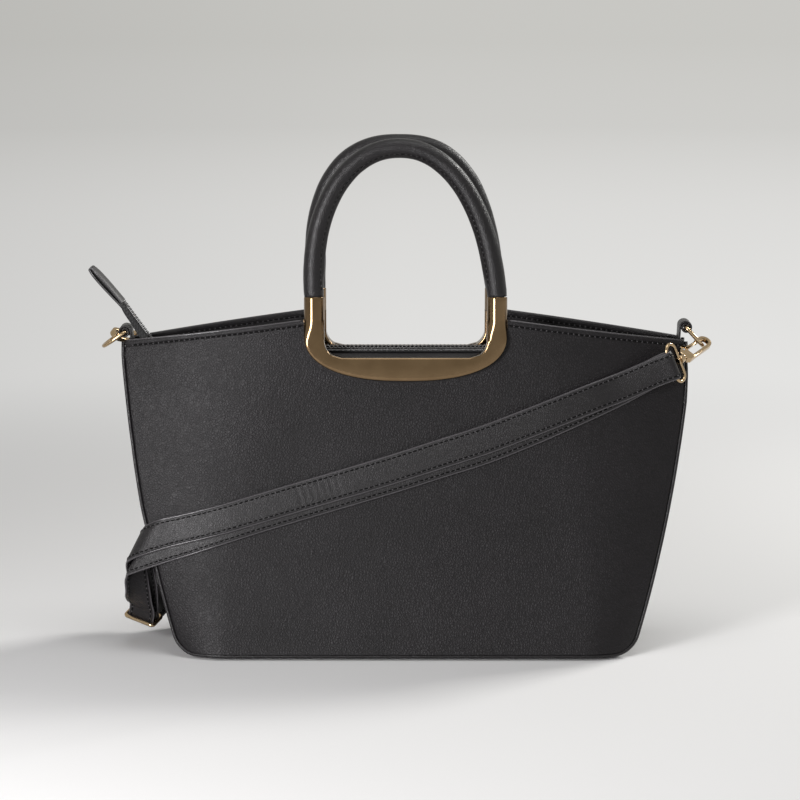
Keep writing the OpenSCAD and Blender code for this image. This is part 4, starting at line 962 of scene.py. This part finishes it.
def tail_coil_mesh():
    line = catmull([k[:3] for k in tail_keys], 1.45)
    parts = []
    for i, (at, d) in list(enumerate(zip(line, tangents(line))))[1:-2]:
        up = np.cross(d, V(0, -1, 0))
        side = -1 if i % 2 else 1
        loop = [at + V(0, side * (0.85 + 1.1 * cos(a)), 0) + up * (1.0 + 0.6 * sin(a))
                for a in np.linspace(0, 360, 11)[:-1]]
        parts.append(tube_mesh(loop, 0.5, d, 6, closed=True))
    return join(parts)


# End tab: a strip of leather doubled over the tape's end
tab_dir = unit(V(-0.66, 0, 0.75))
tab_root = V(-205.0, 0, 250.6) - 2.2 * tab_dir
tab_roll, tab_leaf, tab_half_w, tab_reach = 14, 1.25, 5.0, end_tab_l + 0.2
tab_up = cos(tab_roll) * np.cross(tab_dir, V(0, -1, 0)) + sin(tab_roll) * V(0, -1, 0)
tab_side = np.cross(tab_up, tab_dir)
tab_profile = [(-1, 0.35), (-0.985, 0.5), (-0.82, 0.42), (-0.7, 0.52), (0, 0.56)]


def leaf_gap(s):
    """Half the gap between the tab's leaves."""
    return 1.1 + 0.55 * math.sin(math.pi * hold(s * 0.98) ** 1.3) ** 0.9


def tab_mesh():
    line = [V(s * tab_reach, 0, leaf_gap(s)) for s in np.linspace(0, 1, 26)]
    line += [V(tab_reach + cos(a), 0, leaf_gap(1.0) * sin(a)) for a in np.linspace(80, -80, 9)]
    line += [V(s * tab_reach, 0, -leaf_gap(s)) for s in np.linspace(1, -0.13, 30)]
    rings = []
    for p, d in zip(line, tangents(line)):
        tip = hold((p[0] - (tab_reach - 7)) / 7)
        half = (tab_half_w - tab_leaf * 0.4) * math.sqrt(max(0.05, 1 - (tip * 0.72) ** 2.4))
        ring = band_ring(p, np.cross(d, V(0, 1, 0)), [(half * y, h) for y, h in tab_profile], tab_leaf)
        rings.append([tab_root + q[0] * tab_dir + q[1] * tab_side + q[2] * tab_up for q in ring])
    return loft_mesh(rings)


piece("tail_tape_cloth", *tail_tape_mesh(), TAPE, ["zip_tail_tape"], "zip_tape", "zip_tail", 60)
piece("tail_coil", *tail_coil_mesh(), COIL_HIGHLIGHT, ["zip_tail_teeth"], "zip_coil", "zip_tail")
piece("end_tab_skin", *tab_mesh(), TAB_SKIN, ["zip_end_tab"], body="zip_tail", sharp=55)

# Ring loops, rolled from a band of leather, and the D-rings in them
ring_places = ((-1, "left", V(-201.3, 0, 228.5), unit(V(-0.823, 0, -0.568))),
               (1, "right", V(200.9, 0, 231.8), unit(V(0.672, 0, -0.741))))


def ring_loop_mesh(end, centre):
    thick, half = 1.35, loop_w / 2
    leg_x1 = end * (side_x(side_h) - gusset_t + 0.9)
    keys = []
    for a in np.linspace(20, 520, 60):
        r = mix(wire_r + 0.1 + thick / 2 + 0.15, loop_r - thick / 2, hold((a - 20) / 470))
        keys.append(V(centre[0] + end * r * cos(a + 20), 0, centre[2] + r * sin(a + 20)))
    keys += [V(centre[0] - end * 4.4, 0, centre[2] - 2.4), V(centre[0] - end * 4.75, 0, side_h + 1.2),
             V(leg_x1 - end * 0.5, 0, side_h - 5), V(leg_x1 - end * 0.75, 0, side_h - 19.4)]
    path = catmull(keys, 0.7)
    profile = [(-half, 0.3), (-half + 0.35, 0.5), (-half + 1.5, 0.46), (-half + 2.4, 0.5), (0, 0.5)]
    return loft_mesh([band_ring(p, np.cross(d, V(0, 1, 0)), profile, thick)
                      for p, d in zip(path, tangents(path))])


def d_ring_mesh(centre, bow):
    h = dring_half_w
    half = [(0, h - 2.2), (0.15, h - 1.0), (1.0, h - 0.1), (2.4, h), (dring_arm * 0.7, h)]
    path = [(x, -y) for x, y in half]
    path += [(dring_arm + h * cos(a), h * sin(a)) for a in np.linspace(-90, 90, 25)]
    path += half[::-1] + [(0, y) for y in np.linspace(h - 4, -h + 4, 9)]
    path = [centre + x * bow + V(0, y, 0) for x, y in path]
    return tube_mesh(path, wire_r * 1.1, np.cross(bow, V(0, 1, 0)), 18, closed=True)


for end, name, centre, bow in ring_places:
    piece(name + "_loop_skin", *ring_loop_mesh(end, centre), STRAP_SKIN, [name + "_ring_loop"], sharp=60)
for end, name, centre, bow in ring_places:
    mesh = d_ring_mesh(centre, bow)
    piece(name + "_d_ring_gold", *mesh, GOLD, [name + "_d_ring"], "pale_gold", name + "_ring")

# Places of the hooks and the strap's rings
right_hub, left_hub = V(196.4, -23.8, 211.3), V(-188.2, 29.1, 217.7)
right_axis, left_axis = V(0.628395, 0.714382, 0.307861), V(-0.704577, -0.667678, 0.240369)
ring_depth, ring_half, ring_back = 9.5, 14, 2.6
right_bar_dir = square_to(V(-0.35, -0.05, 0.935), right_axis)
left_bar_dir = square_to(V(0.95, -0.1, 0.3), left_axis)
right_bar_at = right_hub - (ring_back + ring_depth) * right_axis
left_bar_at = left_hub - (ring_back + ring_depth) * left_axis


def swivel_mesh(hub, axis, bar):
    """Oval eye for the strap and the turned hub that it is part of."""
    third = np.cross(axis, bar)
    r = ring_depth / 2
    arm = ring_half - r
    loop = [(-ring_back - r + r * sin(a), arm + r * cos(a)) for a in np.linspace(90, -90, 17)]
    loop += [(-ring_back - ring_depth, y) for y in np.linspace(arm - 2, -arm + 2, 9)]
    loop += [(-ring_back - r + r * sin(a), -(arm + r * cos(a))) for a in np.linspace(-90, 90, 17)]
    loop += [(-ring_back, y) for y in np.linspace(-arm + 2, arm - 2, 9)]
    eye = tube_mesh([hub + x * axis + y * bar for x, y in loop], wire_r, third, 16, closed=True)
    half = [(-2.2, 2.3), (-2.15, 2.75), (-1.8, 3.1), (-1.2, 3.2), (0, 3.0)]
    profile = half + [(-x, r) for x, r in half[-2::-1]]
    return join([eye, loft_mesh([round_ring(hub + x * axis, bar, third, r, 36) for x, r in profile])])


for name, hub, axis, bar in (("left", left_hub, left_axis, left_bar_dir),
                             ("right", right_hub, right_axis, right_bar_dir)):
    mesh = swivel_mesh(hub, axis, bar)
    piece(name + "_strap_ring_gold", *mesh, GOLD, [name + "_strap_ring"], "pale_gold", sharp=60)

# Buckle: rounded loop with a middle bar
buckle_at = V(-191.2, -2, 19)
buckle_bar_dir = unit(V(0.885, -0.385, -0.262))
buckle_side = square_to(V(0.595, 0.73, 0.335), buckle_bar_dir)
buckle_up = np.cross(buckle_bar_dir, buckle_side)
wrap_gap = 0.25
wrap_r = wire_r + wrap_gap + strap_t / 2
buckle_bar_gap = 2 * wrap_r + strap_t + wrap_gap
buckle_half = strap_w / 2 + lay + wire_r + run
buckle_corner, short_side = 2.6, 0.72


def buckle_mesh():
    r = buckle_corner
    arcs = []
    for sx, sy, first in ((1, 1, 0), (-1, 1, 90), (-1, -1, 180), (1, -1, 270)):
        arcs.append([V(sx * (buckle_half - r) + r * cos(a), sy * (buckle_bar_gap - r) + r * sin(a))
                     for a in np.linspace(first, first + 90, 8)])
    loop = []
    for arc, after in zip(arcs, arcs[1:] + arcs[:1]):
        loop += arc + [mix(arc[-1], after[0], s) for s in (0.25, 0.5, 0.75)]
    path = [buckle_at + x * buckle_bar_dir + (y if y > 0 else y * short_side) * buckle_side for x, y in loop]
    bar = [buckle_at + x * buckle_bar_dir for x in np.linspace(-buckle_half, buckle_half, 14)]
    rim = tube_mesh(path, wire_r * 1.12, buckle_up, closed=True)
    return join([rim, tube_mesh(bar, wire_r * 0.96, buckle_up)])


piece("buckle_gold", *buckle_mesh(), GOLD, ["strap_buckle"], "pale_gold", sharp=60)

# Shoulder strap: keys of its middle and half width, smoothed. Two runs lie on the face: place of
# each key, and its height in the outer and in the inner run
half_w = strap_w / 2
inner_lift = 0.7 + strap_t / 2
outer_lift = inner_lift + strap_t + lay
end_slant = 0.4
face_runs = [
    (-144, 94.8, 86.8), (-128, 99.2, 92.2), (-108, 105.2, 98.6), (-80, 113.4, 106.9),
    (-45, 123.6, 117.1), (-10, 134, 127.4), (25, 145.2, 138.4), (55, 154.8, 147.9),
    (82, 165, 158.4), (108, 175.2, 169.6), (133, 184.8, 180.6), (152, 191.6, 189.2),
]
outer_run = [(-169, 88.3), (-158, 91.2)] + [(x, outer) for x, outer, inner in face_runs]
inner_run = [(-173, 77), (-159, 81.6)] + [(x, inner) for x, outer, inner in face_runs]
# The hangs and the run behind the bag are free: middle and half width of each key
hang_widths = [V(7.9, -0.6, 8.4), V(9, -1.8, 4), V(9, -3.6, 1)]
inner_hang = list(zip([V(-194.0, -24.4, 47.4), V(-193.6, -18.2, 40.4), V(-193.0, -12.6, 33.8)], hang_widths))
outer_hang = list(zip([V(-190.2, -19.2, 52.6), V(-189.1, -13.8, 44.6), V(-188.1, -8, 36.8)], hang_widths))
rear_run = [
    (V(-182, 26, 29), V(8.9, 1.4, -4.3)), (V(-183, 42, 37), V(8.4, 1.5, -5.2)),
    (V(-175, 56, 52), V(8, 0.5, -6)), (V(-160, 56, 77), V(8.6, 0, -5.1)),
    (V(-155, 52, 104), V(9.5, 0, -3.1)), (V(-157, 46.5, 134), V(10, 0, -0.6)),
    (V(-164, 42, 163), V(9.8, 0, 2)), (V(-172, 39.6, 186), V(9.6, 0, 2.8)),
]
fold_axis = unit(V(-0.449, 0, -0.895))
fold_out = np.cross(V(0, 1, 0), fold_axis)
fold_at = V(-185.1, -32.5, 73.2)
fold_slope, inner_fold_r = 1, 6
outer_fold_r = inner_fold_r + strap_t + 1.1
fold_angles = [0, 22.5, 45, 67.5, 90, 112.5, 135, 157.5, 180]
fold_half = -half_w * math.sqrt(1 + fold_slope ** 2) * fold_axis
half_turn = (0, 30, 60, 90, 120, 150, 180)
sewn_l, sewn_gap = 9, strap_t / 2 + wrap_gap
far_bar = buckle_at + buckle_bar_gap * buckle_side

# At a bar the strap has three directions: along the bar, the way it pulls, and across
right_pull = square_to(V(-0.93, 0.03, -0.36), right_bar_dir)
left_pull = square_to(V(0.3, 0.1, -0.95), left_bar_dir)
right_bar = (right_bar_dir, right_pull, np.cross(right_bar_dir, right_pull))
left_bar = (left_bar_dir, left_pull, np.cross(left_bar_dir, left_pull))
buckle_bar = (buckle_bar_dir, buckle_up, buckle_side)


def run_keys(run_points, lift, end_lift=0.0):
    """Keys on the front face. The first one is slanted; the last one, at the hook, may lie higher."""
    keys = []
    for i, (x, z) in enumerate(run_points):
        a, b = run_points[max(i - 1, 0)], run_points[min(i + 1, len(run_points) - 1)]
        n = face_in(x, z)
        d = square_to(V(b[0] - a[0], 0, b[1] - a[1]), n)
        high = lift + (end_lift if i == len(run_points) - 1 else 0)
        slant = end_slant if i == 0 else 0
        keys.append((face_at(x, z) - high * n, half_w * (np.cross(d, n) + slant * d)))
    return keys


def fold_key(r, a, shift):
    return (fold_at + r * (sin(a) * fold_out - cos(a) * V(0, 1, 0))
            + (shift + r * fold_slope * math.radians(a - 90)) * fold_axis, fold_half)


def wrap_keys(at, bar, way, angles=half_turn):
    along, pull, across = bar
    return [(at + wrap_r * (way * cos(a) * across - sin(a) * pull), half_w * along) for a in angles]


def beside(at, bar, pulled, moved):
    along, pull, across = bar
    return at + pulled * pull + moved * across, half_w * along


keys = [beside(buckle_at, buckle_bar, 0.85 * sewn_l, sewn_gap)]
keys += wrap_keys(buckle_at, buckle_bar, 1)
wrap_end = len(keys)
keys += [beside(buckle_at, buckle_bar, sewn_l, -sewn_gap)]
keys += inner_hang[::-1]
keys += [fold_key(inner_fold_r, a, 10) for a in fold_angles[::-1]]
start_inner = len(keys)
keys += run_keys(inner_run, inner_lift)
keys += [beside(right_bar_at, right_bar, sewn_l, -sewn_gap)]
keys += wrap_keys(right_bar_at, right_bar, -1)
keys += [beside(right_bar_at, right_bar, sewn_l, sewn_gap + lay)]
start_outer = len(keys)
keys += run_keys(outer_run, outer_lift, lay)[::-1]
end_outer = len(keys)
keys += [fold_key(outer_fold_r, a, 0) for a in fold_angles]
keys += outer_hang
keys += [beside(buckle_at, buckle_bar, sewn_l, sewn_gap + strap_t + wrap_gap)]
keys += wrap_keys(far_bar, buckle_bar, -1, (0, 30, 60, 90))
keys += [beside(far_bar, buckle_bar, -wrap_r, sewn_l)]
keys += rear_run
keys += [beside(left_bar_at, left_bar, far * sewn_l, sewn_gap) for far in (1.8, 1)]
keys += wrap_keys(left_bar_at, left_bar, 1)
keys += [beside(left_bar_at, left_bar, far * sewn_l, -sewn_gap) for far in (1, 1.6)]


def softened(line, low, high, width):
    """Evens out the strap between two keys, as leather does, without moving the stretches beside them."""
    rows = np.array(line)
    out = rows.copy()
    for i, row in enumerate(rows):
        share = hold((row[6] - low) / 1.5) * hold((high - row[6]) / 1.5)
        if share <= 0:
            continue
        span = range(max(0, i - 4 * width), min(len(rows), i + 4 * width + 1))
        weight = np.array([math.exp(-((j - i) / width) ** 2 / 2) for j in span])
        out[i, :6] = mix(row[:6], (rows[list(span), :6] * weight[:, None]).sum(0) / weight.sum(), share)
    return out


# The strap's line: middle, half width and number of the key
strap_line = catmull([np.concatenate([p, w, [float(i)]]) for i, (p, w) in enumerate(keys)], 1.5)
for low, high, width in (
        (wrap_end + 0.4, wrap_end + len(inner_hang) + 6.5, 5),
        (end_outer + 4.0, end_outer + len(fold_angles) + len(outer_hang) + 0.6, 5),
        (start_inner - 3.5, start_inner + 2.5, 4), (end_outer - 3.0, end_outer + 3.5, 4)):
    strap_line = softened(strap_line, low, high, width)
strap_profile = [(0.0, 1.0), (0.35, 0.99), (0.62, 0.97), (0.74, 0.95), (0.8, 0.84), (0.86, 0.95),
                 (0.91, 0.93), (0.95, 0.8)]
strap_profile = [(-s, h) for s, h in strap_profile[:0:-1]] + strap_profile
gather_places = (-75, -70.5, -66, -61.5, -57, -52.5, -48)


def gathers(p, key):
    """Cross creases in the outer run, left of the window."""
    if not (start_outer <= key <= end_outer and -80 < p[0] < -34):
        return 0.0
    return 0.42 * sum(bell(p[0] - c - 0.05 * (p[2] - 118), 1.1) for c in gather_places)


def strap_mesh():
    """The strap's skin and the lines of its four rows of stitches."""
    rings, seams = [], [([], []) for _ in range(4)]
    half_t = strap_t / 2
    for k, d in zip(strap_line, tangents(strap_line[:, :3])):
        p, w = k[:3], k[3:6]
        n, out = unit(np.cross(d, w)), unit(w)
        e = 1 - 0.45 / np.linalg.norm(w)
        soft, crease = 0.03 * wave(p, 30, 6.0), 0.6 * gathers(p, k[6])
        ring = []
        for way, lift in ((1, soft), (-1, crease)):
            ring += [p + way * s * e * w + n * (way * half_t * h + lift) for s, h in strap_profile]
            edge = ((0.15, way * 0.62), (0.42, 0), (0.15, -way * 0.62))
            ring += [p + way * (w * e + out * grow) + n * half_t * h for grow, h in edge]
        rings.append(ring)
        for (points, normals), (s, way) in zip(seams, ((0.8, 1), (-0.8, 1), (0.8, -1), (-0.8, -1))):
            points.append(p + s * e * w + way * n * half_t * 0.9)
            normals.append(way * n)
    return loft_mesh(rings), seams


(pts, faces), seams = strap_mesh()
piece("shoulder_strap_skin", pts, faces, STRAP_SKIN, ["shoulder_strap"], sharp=70)
stitches("strap_stitches", seams, r=0.5)
# strap edges in the same edge paint, whose pale grey is partly a painted highlight
rims = [[k[:3] + way * (k[3:6] - 0.3 * unit(k[3:6])) for k in strap_line] for way in (-1, 1)]
piece("strap_edge_paint", *join([tube_mesh(rim, 0.82, V(0.31, 0.9, 0.3), 8) for rim in rims]), EDGE)


# Rigid metal pieces from the CAD shape, with eased edges
def eased(node, body, material, slot, width, name):
    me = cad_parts[node].data.copy()
    me.name = name
    bm = bmesh.new()
    bm.from_mesh(me)
    bmesh.ops.remove_doubles(bm, verts=bm.verts, dist=2e-6)
    bmesh.ops.dissolve_limit(bm, angle_limit=math.radians(3), verts=bm.verts, edges=bm.edges)
    sharp = [e for e in bm.edges if len(e.link_faces) == 2 and e.calc_face_angle(0) > math.radians(28)]
    bmesh.ops.bevel(bm, geom=sharp, offset=width * MM, segments=3, affect="EDGES", profile=0.5,
                    clamp_overlap=True)
    bm.to_mesh(me)
    bm.free()
    place(name, me, material, [node], slot, body, 50)


for side, end in ENDS:
    eased(end + "_hook_body", end + "_hook", GOLD, "pale_gold", 0.42, end + "_hook_gold")
    eased(end + "_hook_gate", end + "_gate", GOLD, "pale_gold", 0.25, end + "_gate_gold")
    eased(end + "_hook_stud", end + "_hook", GOLD, "pale_gold", 0.2, end + "_stud_gold")
eased("zip_slider", "slider", GOLD, "zip_metal", 0.3, "slider_gold")
eased("zip_pull", "pull", GOLD, "zip_metal", 0.3, "pull_gold")
eased("zip_stops", "bag", GOLD, "zip_metal", 0.2, "stops_gold")
eased("base_feet", "bag", ANTIQUE, "antique_gold", 0.25, "feet_gold")

# Solids that stay as they are
left_over = {
    "frame_screws": STEEL, "left_gate_pin": STEEL, "right_gate_pin": STEEL, "left_gate_spring": STEEL,
    "right_gate_spring": STEEL, "base_board": BOARD, "front_handle_core": BOARD, "back_handle_core": BOARD,
}
for node, material in left_over.items():
    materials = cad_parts[node].data.materials
    materials.clear()
    materials.append(material)


# Camera, floor and light
def aimed(obj, at, to):
    bpy.context.scene.collection.objects.link(obj)
    obj.location = at
    obj.rotation_mode = "QUATERNION"
    obj.rotation_quaternion = (Vector(to) - Vector(at)).to_track_quat("-Z", "Y")
    return obj


cam_data = bpy.data.cameras.new("camera")
cam_data.lens = 141
cam_data.sensor_width = 36
cam_data.clip_start, cam_data.clip_end = 0.1, 40
bpy.context.scene.camera = aimed(bpy.data.objects.new("camera", cam_data),
                                 (-0.004, -2.235, 0.515), (-0.004, -0.033, 0.183))
far_tone = (0.575, 0.57, 0.545)


def seen_rays(nt):
    """1 for the rays that see the background: the camera's, and those that metal and glass pass on."""
    path = add(nt, "LightPath").outputs
    direct = number(nt, "ADD", path["Is Camera Ray"], path["Is Glossy Ray"], clamp=True)
    return number(nt, "ADD", direct, path["Is Transmission Ray"], clamp=True)


def studio_floor():
    """Pale floor; away from the object it shows a painted tone instead of the lamps' light, darker further
    off and to the left.
    """
    rings = [[V(r * cos(a), r * sin(a), 0) for a in np.linspace(0, 360, 49)[:-1]]
             for r in (0.2, 0.5, 1, 2, 4, 8, 16, 40)]
    pts, faces = loft_mesh(rings, caps=False)
    me = bpy.data.meshes.new("floor")
    me.from_pydata([tuple(p) for p in pts], [], faces + [list(range(48))])
    obj = bpy.data.objects.new("floor", me)
    bpy.context.scene.collection.objects.link(obj)
    mat, nt, sh, co = start("pale_floor")
    fill(nt, sh, Base_Color=(0.9, 0.897, 0.89, 1), Roughness=0.9, Specular_IOR_Level=0.15)
    reach = add(nt, "VectorMath", co, operation="LENGTH").outputs["Value"]
    # the far tone darkens with distance and towards the left: painted light falloff, as from lamps near the
    # object and at its right
    tone = ramp(nt, number(nt, "DIVIDE", reach, 12.0, clamp=True), [
        (0.0, (0.80, 0.798, 0.79)), (0.1, (0.765, 0.762, 0.75)), (0.3, (0.70, 0.695, 0.68)),
        (0.5, (0.61, 0.605, 0.585)), (1.0, far_tone)])
    x = add(nt, "SeparateXYZ", co).outputs["X"]
    across = number(nt, "MULTIPLY_ADD", number(nt, "DIVIDE", x, number(nt, "ADD", reach, 1.6)), 2.6, 0.5)
    painted_side_shade = ramp(nt, across, [(0.0, 0.82), (0.5, 0.99), (1.0, 1.03)])
    glow = add(nt, "Emission", multiplied(nt, 1.0, tone, painted_side_shade))
    away = add(nt, "MapRange", reach, 0.42, 1.5, interpolation_type="SMOOTHSTEP").outputs[0]
    share = number(nt, "MULTIPLY", away, seen_rays(nt))
    blended = add(nt, "MixShader", share, sh.outputs[0], glow.outputs[0])
    fill(nt, nt.nodes["Material Output"], blended.outputs[0])
    me.materials.append(mat)


def lamp(name, at, to, size, power, colour=(1, 1, 1)):
    data = bpy.data.lights.new(name, "AREA")
    data.shape = "RECTANGLE"
    data.size, data.size_y = size
    data.energy = power
    data.color = colour
    aimed(bpy.data.objects.new(name, data), at, to)


def studio_world():
    """Dim light all round, and the floor's far tone where the background is seen."""
    world = bpy.data.worlds.new("studio")
    bpy.context.scene.world = world
    world.use_nodes = True
    nt = world.node_tree
    dim = fill(nt, nt.nodes["Background"], (0.86, 0.86, 0.85, 1), 0.1)
    pale = add(nt, "Background", (*far_tone, 1), 1.0)
    blended = add(nt, "MixShader", seen_rays(nt), dim.outputs[0], pale.outputs[0])
    fill(nt, nt.nodes["World Output"], blended.outputs[0])


studio_floor()
lamp("key", (1.25, 0.8, 1.25), (0.0, 0.0, 0.03), (0.45, 0.45), 20, (1.0, 0.99, 0.97))
lamp("soft_left", (-0.68, -1.1, 0.36), (-0.15, -0.05, 0.15), (0.34, 0.6), 14.0, (1.0, 0.985, 1.0))
lamp("top", (0.2, -0.5, 2.0), (0.05, -0.15, 0.1), (1.2, 1.0), 11)
studio_world()
bpy.context.scene.view_settings.view_transform = "Standard"
